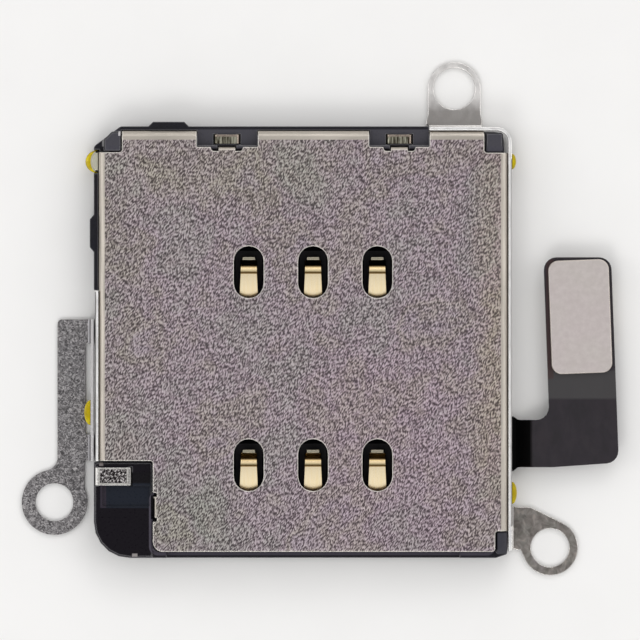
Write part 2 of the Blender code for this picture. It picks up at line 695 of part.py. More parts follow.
def build_bracket(finish):
    face = BRACKET_FACE_X
    edge = face - BRACKET_BEND
    slot_back, slot_front = BRACKET_SLOT
    x, y = LEFT_EAR
    reach = LEFT_EAR_RADIUS
    fillet = BRACKET_FILLET
    fillet_x = BRACKET_LEFT - fillet
    fillet_y = y + math.sqrt((reach + fillet) ** 2 - (fillet_x - x) ** 2)
    touch = math.degrees(math.atan2(fillet_y - y, fillet_x - x))
    neck = math.degrees(math.acos((BRACKET_NECK_X - x) / reach))
    outline = rounded([(edge, BRACKET_BACK, 0), (BRACKET_LEFT, BRACKET_BACK, 0.20),
                       (BRACKET_LEFT, fillet_y, 0)])
    outline += arc((fillet_x, fillet_y), fillet, 0, touch - 180, 6)[1:]
    outline += arc(LEFT_EAR, reach, touch, 360 + neck, RING_STEPS)[1:]
    outline += rounded([(BRACKET_NECK_X, y, 0), (BRACKET_NECK_X, BRACKET_FRONT, 0.05),
                        (edge, BRACKET_FRONT, 0)])[1:]
    outline += rounded([(edge, slot_front, 0), (BRACKET_SLOT_X, slot_front, 0.03),
                        (BRACKET_SLOT_X, slot_back, 0.03), (edge, slot_back, 0)], 3)
    foot = BRACKET_SHEET + BRACKET_BEND
    patches = flat_patch(outline, [circle(LEFT_EAR, LEFT_EAR_HOLE)], BRACKET_SHEET, 0.0)
    for start, end in ((BRACKET_BACK, slot_back), (slot_front, BRACKET_FRONT)):
        patches += ear_bend((face, start), (face, end), (-1, 0), BRACKET_SHEET, BRACKET_BEND)
    stops = (BRACKET_BACK, slot_back, slot_front, BRACKET_FRONT)
    path = [((face, stop), (face + BRACKET_SHEET, stop)) for stop in stops]
    patches += frame_wall(path, (), (foot, BRACKET_TOP))
    return add_object("left_bracket", sheet_solid(patches), finish)


# Contacts

def contact_points():
    places = []
    for row in (1, -1):
        for column in (-1, 0, 1):
            places.append((CONTACT_MID_X + column * CONTACT_PITCH, CONTACT_MID_Y + row * ROW_SPACING / 2))
    return places


def contact_centre_line():
    # Stations (y, z, half width) of the strip's middle, with y = 0 at the contact point.
    foot_z = FLEX_TOP + SEAT + CONTACT_SHEET / 2
    crest_z = FLOOR_TOP + CONTACT_FREE_HEIGHT - CONTACT_SHEET / 2
    foot, root, tip, lip = (width / 2 for width in (CONTACT_FOOT_WIDTH, CONTACT_ROOT_WIDTH,
                                                    CONTACT_TIP_WIDTH, CONTACT_LIP_WIDTH))
    knee, depth = CONTACT_KNEES[0]
    slope = (crest_z - depth - foot_z) / (CONTACT_ARM - knee)
    stations = [(-CONTACT_ARM - CONTACT_FOOT, foot_z, foot), (-CONTACT_ARM - CONTACT_SHEET, foot_z, foot),
                (-CONTACT_ARM + CONTACT_SHEET, foot_z + CONTACT_SHEET * slope, (foot + root) / 2),
                ((-CONTACT_ARM - knee) / 2, (foot_z + crest_z - depth) / 2, root)]
    for back, down in CONTACT_KNEES:
        stations.append((-back, crest_z - down, tip + (root - tip) * min(1, back / CONTACT_TAPER)))
    steps = 6
    for step in range(steps + 1):
        fall = CONTACT_DROP * step / steps - CONTACT_FACE_TILT * (1 - step / steps)
        stations.append((CONTACT_ROUND * math.sin(fall), crest_z - CONTACT_ROUND * (1 - math.cos(fall)), tip))
    fall = CONTACT_DROP
    for run, radius, steeper in CONTACT_TAIL:
        y, z, _ = stations[-1]
        y += run * math.cos(fall)
        z -= run * math.sin(fall)
        stations.append((y, z, tip))
        turn = math.copysign(radius, steeper - fall)
        for share in (1 / 3, 2 / 3, 1):
            angle = fall + (steeper - fall) * share
            width = tip if turn > 0 else tip + (lip - tip) * share
            stations.append((y + turn * (math.sin(angle) - math.sin(fall)),
                             z - turn * (math.cos(fall) - math.cos(angle)), width))
        fall = steeper
    y, z, _ = stations[-1]
    stations.append((y + CONTACT_LIP, z, lip))
    return stations


def build_contact(name, place, finish):
    stations = contact_centre_line()
    half = CONTACT_SHEET / 2
    rings = []
    for index, (y, z, width) in enumerate(stations):
        before = stations[max(index - 1, 0)]
        after = stations[min(index + 1, len(stations) - 1)]
        along = Vector((after[0] - before[0], after[1] - before[1])).normalized()
        up = (-along.y * half, along.x * half)
        at_y = place[1] + y
        rings.append([
            (place[0] - width, at_y - up[0], z - up[1]), (place[0] + width, at_y - up[0], z - up[1]),
            (place[0] + width, at_y + up[0], z + up[1]), (place[0] - width, at_y + up[0], z + up[1]),
        ])
    faces = [rings[0], rings[-1]]
    for first, second in zip(rings, rings[1:]):
        for corner in range(4):
            nearby = (corner + 1) % 4
            faces.append([first[corner], first[nearby], second[nearby], second[corner]])
    pivot = (place[0], place[1] - CONTACT_ARM, stations[0][1])
    return add_object(name, solid_mesh(faces), finish, pivot)


# Flex circuit

def flex_ramp_edges(x):
    share = min(max((x - FLEX_RAMP[0]) / 0.20, 0.0), 1.0)
    return FLEX_GATE_Y[0] + 0.16 * share, FLEX_GATE_Y[1] - 0.14 * share


def flex_height(x):
    share = min(max((x - FLEX_RAMP[0]) / (FLEX_RAMP[1] - FLEX_RAMP[0]), 0.0), 1.0)
    return FLEX_TOP + (FLEX_TAIL_TOP - FLEX_TOP) * share * share * (3 - 2 * share)


def flex_pairs(points):
    pairs = []
    for x, y in points:
        level = flex_height(x)
        pairs.append(((x, y, level), (x, y, level - FLEX_FILM)))
    return pairs


def flex_tail_outline():
    low, high = flex_ramp_edges(FLEX_RAMP[1])
    lean = math.tan(PLUG_TILT)
    left, right, back = TAIL_LEFT, TAIL_RIGHT, TAIL_BACK
    return rounded([
        (FLEX_RAMP[1], low, 0), (left + 0.15, low, TAIL_ROUND), (right, low + 0.18, TAIL_ROUND),
        (right - lean * (back - low), back, TAIL_ROUND), (left - lean * (back - high), back, TAIL_ROUND),
        (left, high, TAIL_ROUND), (FLEX_RAMP[1], high, 0),
    ])


def flex_body_outline():
    left, front, right, back = FLEX_BODY
    low, high = FLEX_GATE_Y
    start = FLEX_RAMP[0]
    return rounded([
        (left, front, FLEX_ROUND), (right, front, FLEX_ROUND), (right, low, CUT_ROUND), (start, low, 0),
        (start, high, 0), (right, high, CUT_ROUND), (right, back, FLEX_ROUND), (left, back, FLEX_ROUND),
    ])


def build_flex(finish):
    patches = []
    for outline in (flex_body_outline(), flex_tail_outline()):
        for triangle in plan_triangles(outline, []):
            patches.append(flex_pairs(triangle))
    start, end = FLEX_RAMP
    steps = FLEX_RAMP_STEPS
    stations = [start + (end - start) * step / steps for step in range(steps + 1)]
    for x0, x1 in zip(stations, stations[1:]):
        low0, high0 = flex_ramp_edges(x0)
        low1, high1 = flex_ramp_edges(x1)
        patches.append(flex_pairs([(x0, low0), (x1, low1), (x1, high1), (x0, high0)]))
    return add_object("flex_circuit", sheet_solid(patches), finish)


# Housing

def housing_outline():
    front = HOUSING_FRONT
    post_x = HALF_WIDTH - 0.03
    back_right = CORE_BACK + 0.11
    lip_end = FRAME_WALL_START_X - 0.03
    bump_left, bump_right = BACK_BUMP
    bump_front, bump_back = LEFT_BUMP
    lean = BACK_BUMP_DEPTH / 2
    corner_x, corner_y = BACK_CORNER
    return rounded([
        (-LIP_X, front, FRONT_CORNER), (FRONT_RIGHT_CUT[0] + 0.03, front, 0.10),
        (post_x, front + 0.15, 0.10), (post_x, FRONT_RIGHT_CUT[1] - FIT, 0.03),
        (CORE_X, FRONT_RIGHT_CUT[1] - FIT, 0), (CORE_X, back_right, 0.40),
        (lip_end, back_right, 0), (lip_end, LIP_BACK, 0.03),
        (bump_right + lean, LIP_BACK, 0), (bump_right - lean, LIP_BACK + BACK_BUMP_DEPTH, 0.04),
        (bump_left + lean, LIP_BACK + BACK_BUMP_DEPTH, 0.04), (bump_left - lean, LIP_BACK, 0),
        (-LIP_X + corner_x, LIP_BACK, 0.20), (-LIP_X, LIP_BACK - corner_y, 0.20),
        (-LIP_X, bump_back + lean, 0), (-LIP_X - LEFT_BUMP_DEPTH, bump_back - lean, 0.03),
        (-LIP_X - LEFT_BUMP_DEPTH, bump_front + lean, 0.03), (-LIP_X, bump_front - lean, 0),
        (-LIP_X, LEFT_WALL[0] + FIT, 0.03), (-CORE_X, LEFT_WALL[0] + FIT, 0),
        (-CORE_X, LEFT_WALL[1] - FIT, 0), (-LIP_X, LEFT_WALL[1] - FIT, 0.05),
    ])


def core_outline():
    # The body under the cover, set in from each of the cover's cut corners.
    side = CORE_X - PARTING
    front_left, front_right = FRONT_LEFT_CUT[0] - FIT, FRONT_RIGHT_CUT[0] - FIT
    back_left, back_right = BACK_LEFT_CUT[0] + FIT, BACK_RIGHT_CUT[0] - FIT
    return [
        (front_left, -HALF_DEPTH + FIT), (front_right, -HALF_DEPTH + FIT),
        (front_right, FRONT_RIGHT_CUT[1] + FIT), (side, FRONT_RIGHT_CUT[1] + FIT),
        (side, BACK_RIGHT_CUT[1] - FIT), (back_right, BACK_RIGHT_CUT[1] - FIT),
        (back_right, CORE_BACK), (back_left, CORE_BACK),
        (back_left, BACK_LEFT_CUT[1] - FIT), (-side, BACK_LEFT_CUT[1] - FIT),
        (-side, FRONT_LEFT_CUT[1] - FIT), (front_left, FRONT_LEFT_CUT[1] - FIT),
    ]


def lever_pocket():
    # The deeper part at the right lets the lever's long arm swing back.
    x, y = LEVER_PIVOT
    left = ROD_X - LEVER_END_RADIUS
    back = y + LEVER_HUB + 0.20
    deep = back + 0.40
    front = y - LEVER_FINGER + 0.17
    step = x + LEVER_LONG_ARM / 2
    right = x + LEVER_LONG_ARM + 1.80
    return rounded([(left, front, 0.10), (right, front, 0), (right, deep, 0.10),
                    (step, deep, 0.10), (step, back, 0), (left, back, 0.10)], 3)


def latch_recess():
    # A pocket beside the slot, with a narrow cut at the front that grips the spring's root.
    inner = SLOT_RIGHT - 0.20
    outer = SLOT_RIGHT + LATCH_RECESS
    root_x, root_y = LATCH_ROOT
    grip = root_y - 0.73
    front, back = root_y + 0.15, root_y + 4.00
    return [(inner, front), (root_x - 0.15, front), (root_x - 0.15, grip), (root_x + 0.15, grip),
            (root_x + 0.15, front), (outer, front), (outer, back), (inner, back)]


def detect_recess():
    left, right = SLOT_RIGHT - DETECT_RECESS, SLOT_RIGHT + MOULD_EDGE
    front = SLOT_END_Y - 0.15
    back = HALF_DEPTH - NOTCH_DEPTH - TAB_BEND - 0.13
    return rounded([(left, front, 0), (right, front, 0), (right, back, 0.10), (left, back, 0.10)], 3)


def shell_groove_boxes():
    # Plan boxes that the cover's skirts drop into.
    outer = HALF_WIDTH + FIT
    back_in, back_out = CORE_BACK, HALF_DEPTH + FIT
    boxes = [(-outer, FRONT_LEFT_CUT[1] - FIT, -CORE_X, BACK_LEFT_CUT[1] + FIT)]
    for left, right in ((BACK_LEFT_CUT[0], LEFT_NOTCH[0]), (LEFT_NOTCH[1], RIGHT_NOTCH[0]),
                        (RIGHT_NOTCH[1], BACK_RIGHT_CUT[0])):
        boxes.append((left - FIT, back_in, right + FIT, back_out))
    return boxes


def clip_places():
    # Middle, plan size and level of the seat of each small steel clip.
    return {
        "rod_clip": (*ROD_CLIP, BLOCK_TOP),
        "lock_clip_1": ((LEFT_TAB_X, LOCK_CLIP_Y), LOCK_CLIP_SIZE, LIP_TOP),
        "lock_clip_2": ((RIGHT_TAB_X, LOCK_CLIP_Y), LOCK_CLIP_SIZE, LIP_TOP),
    }


def housing_cutters():
    top = COVER_TOP + 1
    under = -1
    ahead = HOUSING_FRONT - 1
    half = ROD_WIDTH / 2 + FIT + SEAT
    cuts = [
        (rectangle(SLOT_LEFT, ahead, SLOT_RIGHT, SLOT_END_Y), FLOOR_TOP, top),
        (lever_pocket(), FLOOR_TOP, top),
        (latch_recess(), FLOOR_TOP, top),
        (detect_recess(), FLOOR_TOP, top),
        (circle(LEVER_PIVOT, PIN_RADIUS + PARTING, 24), FLOOR_TOP - PIN_SINK - SEAT, top),
        (rectangle(ROD_X - half, FRONT_LEFT_CUT[1] + 0.3, ROD_X + half, LEVER_PIVOT[1] - 1), FLOOR_TOP, top),
        (rectangle(ROD_X - half, ahead, ROD_X + half, FRONT_LEFT_CUT[1] + 0.5),
         FLOOR_TOP, ROD_BOTTOM + ROD_HEIGHT + 0.04),
    ]
    wide = CONTACT_POCKET_WIDTH / 2
    foot = CONTACT_FOOT_WIDTH / 2 + 3 * FIT
    for x, y in contact_points():
        start = y - CONTACT_ARM
        cuts.append((rectangle(x - wide, start + 0.20, x + wide, y + 0.86, 0.08), under, top))
        cuts.append((rectangle(x - foot, start - CONTACT_FOOT - 0.10, x + foot, start + 0.25),
                     under, FLEX_TOP + CONTACT_SHEET + 0.14))
    left, front, right, back = FLEX_BODY
    ease = MOULD_EDGE
    cuts.append((rectangle(left - ease, front - ease, right + ease, back + ease, FLEX_ROUND),
                 under, FLEX_TOP + SEAT))
    cuts.append((rectangle(right - 1, FLEX_GATE_Y[0] - ease, right + 1, FLEX_GATE_Y[1] + ease),
                 under, FLEX_TOP + SEAT))
    for box in shell_groove_boxes():
        cuts.append((rectangle(*box), COVER_SKIRT_BOTTOM - FIT, top))
    floor = HALF_DEPTH - NOTCH_DEPTH + 2 * FIT
    for left, right in (LEFT_NOTCH, RIGHT_NOTCH):
        cuts.append((rectangle(left + PARTING, floor, right - PARTING, HALF_DEPTH + 1), LIP_TOP, top))
    cuts += tab_pockets(top)
    cuts += clip_slots(top)
    cuts += block_recesses(top)
    cuts.append((rectangle(-LIP_X - 1, LUG_BAY[0], -HALF_WIDTH + FIT, LUG_BAY[1]),
                 COVER_SKIRT_BOTTOM - SEAT, top))
    return cuts


def tab_pockets(top):
    ease = MOULD_EDGE
    half = TAB_WIDTH / 2 + ease
    outer = HALF_DEPTH - NOTCH_DEPTH
    bottom = COVER_TOP - TAB_BEND - TAB_DROP - 2 * FIT
    pockets = []
    for x in (LEFT_TAB_X, RIGHT_TAB_X):
        pockets.append((rectangle(x - half, outer - COVER_SHEET - ease, x + half, outer + 0.08), bottom, top))
    side = FRONT_LEFT_CUT[0]
    half = SIDE_TAB_WIDTH / 2 + ease
    pockets.append((rectangle(side - 0.08, SIDE_TAB_Y - half, side + COVER_SHEET + ease, SIDE_TAB_Y + half),
                    bottom, top))
    return pockets


def clip_slots(top):
    slots = []
    for (x, y), (length, width), seat in clip_places().values():
        for side in (-1, 1):
            middle = x + side * (length - CLIP_SHEET) / 2
            reach = CLIP_SHEET / 2 + FIT
            slots.append((rectangle(middle - reach, y - width / 2 - FIT, middle + reach, y + width / 2 + FIT),
                          seat - CLIP_LEG - 0.04, top))
    return slots


def block_recesses(top):
    inner = FRONT_LEFT_CUT[0] - BLOCK_RIM
    left, front, back = PANE
    return [(rectangle(left, front, inner, back, MOULD_EDGE), BLOCK_TOP - PANE_DEPTH, top)]


def boolean(target, cutter_mesh, operation, label):
    tool = bpy.data.objects.new(label, cutter_mesh)
    bpy.context.scene.collection.objects.link(tool)
    tool.hide_render = True
    tool.display_type = "WIRE"
    step = target.modifiers.new(label, "BOOLEAN")
    step.operation = operation
    step.solver = "EXACT"
    step.object = tool
    return tool


def tool_mesh(label, faces):
    mesh = bpy.data.meshes.new(label)
    data = solid_mesh(faces)
    bmesh.ops.recalc_face_normals(data, faces=data.faces)
    data.to_mesh(mesh)
    data.free()
    return mesh


def corner_post():
    # Outline of the post in the cover's back left cut, with the outer corner cut off.
    left, right = -HALF_WIDTH + 0.20, BACK_LEFT_CUT[0] - FIT
    front, back = BACK_LEFT_CUT[1] + FIT, HALF_DEPTH - FIT
    return rounded([(left, front, POST_ROUND), (right, front, POST_ROUND), (right, back, POST_ROUND),
                    (left + POST_CUT, back, POST_ROUND), (left, back - POST_CUT, POST_ROUND)], 3)


def housing_blocks():
    left = FRONT_LEFT_CUT[0] - PARTING
    outer = -LIP_X + PARTING
    front = HOUSING_FRONT + PARTING
    back = FRONT_LEFT_CUT[1] - 2 * FIT
    block = rounded([(outer, front, FRONT_CORNER - PARTING), (left, front, 0),
                     (left, back, CUT_ROUND), (outer, back, CUT_ROUND)])
    deep = HOUSING_BOTTOM + 0.1
    posts = [
        corner_post(),
        rectangle(BACK_RIGHT_CUT[0] + 0.07, BACK_RIGHT_CUT[1] + FIT,
                  CORE_X - MOULD_EDGE, CORE_BACK + 0.07, POST_ROUND),
        rectangle(FRONT_RIGHT_CUT[0] + 0.04, HOUSING_FRONT + 0.18, HALF_WIDTH - 0.04,
                  FRONT_RIGHT_CUT[1] - FIT - SEAT, POST_ROUND),
    ]
    core_edge = COVER_BEND - COVER_SHEET - SEAT
    blocks = [chamfered_faces(core_outline(), HOUSING_BOTTOM + 0.05, CORE_TOP, core_edge),
              chamfered_faces(block, deep, BLOCK_TOP, MOULD_EDGE)]
    for post in posts:
        blocks.append(chamfered_faces(post, deep + 0.05, POST_TOP, MOULD_EDGE))
    for place in STAKE_PLACES:
        blocks.append(prism_faces(circle(place, STAKE_RADIUS, 20), 0.02, HOUSING_BOTTOM + 0.2))
    return blocks


def build_housing(finish):
    outline = housing_outline()
    body = add_object("base_housing", solid_mesh(prism_faces(outline, HOUSING_BOTTOM, LIP_TOP)), finish)
    for index, faces in enumerate(housing_blocks()):
        boolean(body, tool_mesh(f"add_{index}", faces), "UNION", f"add_{index}")
    for index, cut in enumerate(housing_cutters()):
        boolean(body, tool_mesh(f"cut_{index}", prism_faces(*cut)), "DIFFERENCE", f"cut_{index}")
    return body


# Small steel parts

def build_clip(name, place, size, seat, finish):
    x, y = place
    length, width = size
    top = seat + SEAT + CLIP_SHEET
    bottom = seat - CLIP_LEG
    reach = length / 2 - CLIP_BEND
    flat = rectangle(x - reach, y - width / 2, x + reach, y + width / 2)
    patches = flat_patch(flat, [], top, top - CLIP_SHEET)
    for side in (-1, 1):
        edge = x + side * reach
        patches += skirt((edge, y - width / 2), (edge, y + width / 2), (side, 0), top,
                         CLIP_BEND, CLIP_SHEET, bottom)
    return add_object(name, sheet_solid(patches), finish)


def ribbon_outline(points, thickness):
    # Plan outline of a strip of constant thickness along a bent centre line.
    left = []
    right = []
    for index, point in enumerate(points):
        before = Vector(points[max(index - 1, 0)])
        after = Vector(points[min(index + 1, len(points) - 1)])
        along = (after - before).normalized()
        across = Vector((-along.y, along.x)) * thickness / 2
        left.append(tuple(Vector(point) + across))
        right.append(tuple(Vector(point) - across))
    return left + right[::-1]


def smooth_line(points, steps=4):
    # Catmull-Rom curve through plan points.
    result = []
    padded = [points[0]] + list(points) + [points[-1]]
    for index in range(1, len(padded) - 2):
        p0, p1, p2, p3 = (Vector(padded[index + shift]) for shift in (-1, 0, 1, 2))
        for step in range(steps):
            t = step / steps
            point = 0.5 * (2 * p1 + (p2 - p0) * t + (2 * p0 - 5 * p1 + 4 * p2 - p3) * t * t
                           + (3 * p1 - p0 - 3 * p2 + p3) * t * t * t)
            result.append(tuple(point))
    result.append(tuple(points[-1]))
    return result


def build_latch_spring(finish):
    root_x, root_y = LATCH_ROOT
    bump_x, bump_y = SLOT_RIGHT - LATCH_REACH, root_y + LATCH_BUMP
    end_x = SLOT_RIGHT + 0.40
    line = [(root_x, root_y - 0.55), (root_x, root_y), (root_x - 0.22, root_y + 0.55),
            (bump_x + 0.22, bump_y - 0.55), (bump_x + SPRING_SHEET / 2, bump_y),
            (bump_x + 0.20, bump_y + 0.55), (end_x - 0.06, bump_y + 1.15), (end_x, bump_y + 1.50)]
    outline = ribbon_outline(smooth_line(line), SPRING_SHEET)
    low = FLOOR_TOP + SPRING_LIFT
    return prism("latch_spring", outline, low, low + LATCH_HEIGHT, finish, origin=(root_x, root_y, low))


def build_detect_spring(finish):
    x, y = DETECT_ROOT
    line = [(x + 0.12, y + 0.05), (x, y), (x - 0.50, y - 0.42), (x - 1.25, y - 1.05),
            (x - 1.62, y - 1.50), (x - 1.86, y - 1.62), (x - 2.08, y - 1.44)]
    outline = ribbon_outline(smooth_line(line), SPRING_SHEET)
    low = FLOOR_TOP + SPRING_LIFT
    return prism("detect_spring", outline, low, low + DETECT_HEIGHT, finish, origin=(x, y, low))


def build_detect_terminal(finish):
    x, y = DETECT_ROOT
    line = [(x - 2.42, y - 0.92), (x - 2.05, y - 0.84), (x - 1.62, y - 0.62), (x - 1.45, y - 0.10)]
    outline = ribbon_outline(smooth_line(line), SPRING_SHEET)
    top = FLOOR_TOP + SPRING_LIFT + DETECT_HEIGHT
    return prism("detect_terminal", outline, FLOOR_TOP + SEAT, top, finish)


def build_lever(finish):
    short, long = LEVER_SHORT_ARM, LEVER_LONG_ARM
    half = LEVER_WIDTH / 2
    end = LEVER_END_RADIUS
    tip = LEVER_TIP_RADIUS
    hub = LEVER_HUB
    outline = arc((-short, 0), end, 90, 270, 8)
    outline += rounded([(-short + end, -end, 0), (-hub, -half, 0.30), (0, -half - 0.12, 0.60),
                        (hub, -half, 0.30), (long - tip, -half + 0.05, 0.25),
                        (long - tip, -LEVER_FINGER, 0)])[1:-1]
    outline += arc((long, -LEVER_FINGER), tip, 180, 360, 8)
    outline += rounded([(long + tip, -LEVER_FINGER, 0), (long + tip, half - 0.08, 0.30),
                        (hub, half, 0.30), (0, half + 0.12, 0.60), (-hub, half, 0.30),
                        (-short + end, end, 0)])[1:-1]
    hole = circle((0, 0), PIN_RADIUS + FIT, 24)
    tilt = LEVER_SWING / 2
    faces = prism_faces(turned(outline, LEVER_PIVOT, tilt), LEVER_BOTTOM, LEVER_BOTTOM + LEVER_THICKNESS,
                        [turned(hole, LEVER_PIVOT, tilt)])
    return add_object("eject_lever", solid_mesh(faces), finish, (*LEVER_PIVOT, LEVER_BOTTOM))


def build_pin(finish):
    # Turned rivet: a shank in the floor and a domed head over the lever.
    head = LEVER_BOTTOM + LEVER_THICKNESS + 0.03
    foot = FLOOR_TOP - PIN_SINK
    profile = [(0, foot), (PIN_RADIUS - 0.04, foot), (PIN_RADIUS, foot + 0.04),
               (PIN_RADIUS, head), (PIN_HEAD_RADIUS, head), (PIN_HEAD_RADIUS, head + 0.04),
               (PIN_HEAD_RADIUS * 0.8, head + PIN_HEAD_HEIGHT), (0, head + PIN_HEAD_HEIGHT)]
    return add_object("lever_pin", turned_solid(profile, LEVER_PIVOT, 24), finish)


def turned_solid(profile, centre, steps):
    faces = []
    for (r0, z0), (r1, z1) in zip(profile, profile[1:]):
        for step in range(steps):
            a0, a1 = (2 * math.pi * turn / steps for turn in (step, step + 1))
            quad = []
            for radius, level, angle in ((r0, z0, a0), (r0, z0, a1), (r1, z1, a1), (r1, z1, a0)):
                point = (centre[0] + radius * math.cos(angle), centre[1] + radius * math.sin(angle), level)
                if point not in quad:
                    quad.append(point)
            if len(quad) > 2:
                faces.append(quad)
    return solid_mesh(faces)


def rod_end():
    # Back face of the rod, just clear of the lever's round end at rest.
    tilt = LEVER_SWING / 2
    return LEVER_PIVOT[1] - LEVER_SHORT_ARM * math.sin(tilt) - LEVER_END_RADIUS - 0.035


def build_rod(finish):
    half = ROD_WIDTH / 2
    slim = half - ROD_WAIST
    front, back = ROD_FRONT, rod_end()
    left, right, waist = ROD_X - half, ROD_X + half, ROD_X + slim
    outline = rounded([
        (left, front, 0.08), (right, front, 0.08), (right, front + ROD_HEAD, 0.05),
        (waist, front + ROD_HEAD + 0.20, 0.05), (waist, back - ROD_HEAD - 0.10, 0.05),
        (right, back - ROD_HEAD + 0.10, 0.05), (right, back, 0.08), (left, back, 0.08),
    ], 3)
    rod = prism("eject_rod", outline, ROD_BOTTOM, ROD_BOTTOM + ROD_HEIGHT, finish,
                origin=(ROD_X, front, ROD_BOTTOM))
    return soften(rod, 0.03)


# Adhesive dots

def dot_faces(middle, out, length, depth, bottom, top):
    # Half-round dome with its flat side against the wall: out is +1 or -1 along X.
    faces = []
    rings = []
    rows = ((0.0, 0.86), (0.22, 1.0), (0.78, 1.0), (1.0, 0.80))
    for share, size in rows:
        ring = []
        for step in range(13):
            angle = math.pi * (step / 12 - 0.5)
            ring.append((middle[0] + out * depth * size * math.cos(angle),
                         middle[1] + length / 2 * size * math.sin(angle), bottom + (top - bottom) * share))
        rings.append(ring)
    faces += [rings[0], rings[-1][::-1]]
    for first, second in zip(rings, rings[1:]):
        for index in range(13):
            nearby = (index + 1) % 13
            faces.append([first[index], first[nearby], second[nearby], second[index]])
    return faces


def build_dots(glue, lug):
    lip = -HALF_WIDTH - FIT - SEAT
    wall = FRAME_OUTSIDE_X + SEAT
    flange = BRACKET_FACE_X - SEAT
    dots = [(lip, -1, GLUE_LEFT_BACK), (flange, -1, GLUE_BRACKET),
            (wall, 1, GLUE_RIGHT_BACK), (wall, 1, GLUE_RIGHT_FRONT)]
    for index, (x, out, (y, *size)) in enumerate(dots, 1):
        add_object(f"glue_dot_{index}", solid_mesh(dot_faces((x, y), out, *size)), glue)
    y, *size = LUG
    add_object("corner_lug", solid_mesh(dot_faces((lip, y), -1, *size)), lug)


# Plug

def on_plug(points):
    return turned(points, PLUG_CENTRE, PLUG_TILT)


def plug_terminal_places():
    places = []
    for side in (-1, 1):
        for index in range(PLUG_PER_SIDE):
            places.append((side, (index - (PLUG_PER_SIDE - 1) / 2) * PLUG_PITCH))
    return places


def build_plug(housing, contact, nail):
    half_x, half_y = PLUG_WIDTH / 2, PLUG_LENGTH / 2
    deck_bottom = PLUG_TOP - PLUG_DECK
    rail_out = PLUG_RAIL_OUT
    rail_in = rail_out - PLUG_WALL
    body = prism("connector_plug", on_plug(rectangle(-half_x, -half_y, half_x, half_y, 0.10)),
                 deck_bottom, PLUG_TOP, housing)
    end = PLUG_RAIL_END
    well = end - PLUG_END_WALL
    ring_outer = on_plug(rectangle(-rail_out, -end, rail_out, end, CUT_ROUND))
    ring_inner = on_plug(rectangle(-rail_in, -well, rail_in, well, CUT_ROUND / 2))
    ring = prism_faces(ring_outer, PLUG_BOTTOM, deck_bottom + MOULD_EDGE, [ring_inner])
    boolean(body, tool_mesh("plug_ring", ring), "UNION", "plug_ring")
    notch = TERMINAL_WIDTH / 2 + PARTING
    for side, y in plug_terminal_places():
        outer = side * (half_x + 0.2)
        inner = side * (rail_out - PARTING)
        left, right = sorted((outer, inner))
        label = f"seat_{side}_{y:.1f}"
        outline = on_plug(rectangle(left, y - notch, right, y + notch))
        seat = prism_faces(outline, PLUG_TOP - TERMINAL_SHEET - PARTING, PLUG_TOP + 0.1)
        boolean(body, tool_mesh(label, seat), "DIFFERENCE", label)
    build_plug_terminals(contact)
    build_plug_nails(nail)


def build_plug_terminals(finish):
    rail_out = PLUG_RAIL_OUT
    rail_in = rail_out - PLUG_WALL
    gap, sheet = SEAT, TERMINAL_SHEET
    deck_bottom = PLUG_TOP - PLUG_DECK
    outside = PLUG_WIDTH / 2 + gap
    inside = rail_in - gap
    low = PLUG_BOTTOM - gap - sheet
    hook = deck_bottom - MOULD_EDGE
    tail = outside + TERMINAL_TAIL
    section = [
        (inside, hook), (inside - sheet, hook), (inside - sheet, low),
        (outside + sheet, low), (outside + sheet, PLUG_TOP - sheet), (tail, PLUG_TOP - sheet),
        (tail, PLUG_TOP), (outside, PLUG_TOP), (outside, low + sheet), (inside, low + sheet),
    ]
    half = TERMINAL_WIDTH / 2
    for index, (side, y) in enumerate(plug_terminal_places(), 1):
        ends = []
        for at in (y - half, y + half):
            ring = [(side * x, at) for x, _ in section]
            ends.append([(px, py, z) for (px, py), (_, z) in zip(on_plug(ring), section)])
        faces = [ends[0], ends[1][::-1]]
        for k in range(len(section)):
            nearby = (k + 1) % len(section)
            faces.append([ends[0][k], ends[0][nearby], ends[1][nearby], ends[1][k]])
        add_object(f"plug_terminal_{index}", solid_mesh(faces), finish)


def build_plug_nails(finish):
    half_y = PLUG_LENGTH / 2
    for index, side in enumerate((-1, 1), 1):
        near, far = sorted((side * (half_y + SEAT), side * (half_y + SEAT + NAIL_SHEET)))
        plate = on_plug(rectangle(-NAIL_HALF_WIDTH, near, NAIL_HALF_WIDTH, far))
        prism(f"plug_nail_{index}", plate, PLUG_BOTTOM + 0.04, PLUG_TOP, finish)


def build_stiffener(finish):
    half_x, half_y = STIFFENER_SIZE[0] / 2, STIFFENER_SIZE[1] / 2
    corners = [(-half_x, -half_y), (half_x, -half_y), (half_x, half_y), (-half_x, half_y)]
    outline = on_plug(rounded([(x, y, STIFFENER_ROUND) for x, y in corners], 7))
    bottom = FLEX_TAIL_TOP + SEAT
    plate = prism("connector_stiffener", outline, bottom, bottom + STIFFENER_SHEET, finish)
    return soften(plate, 0.03)


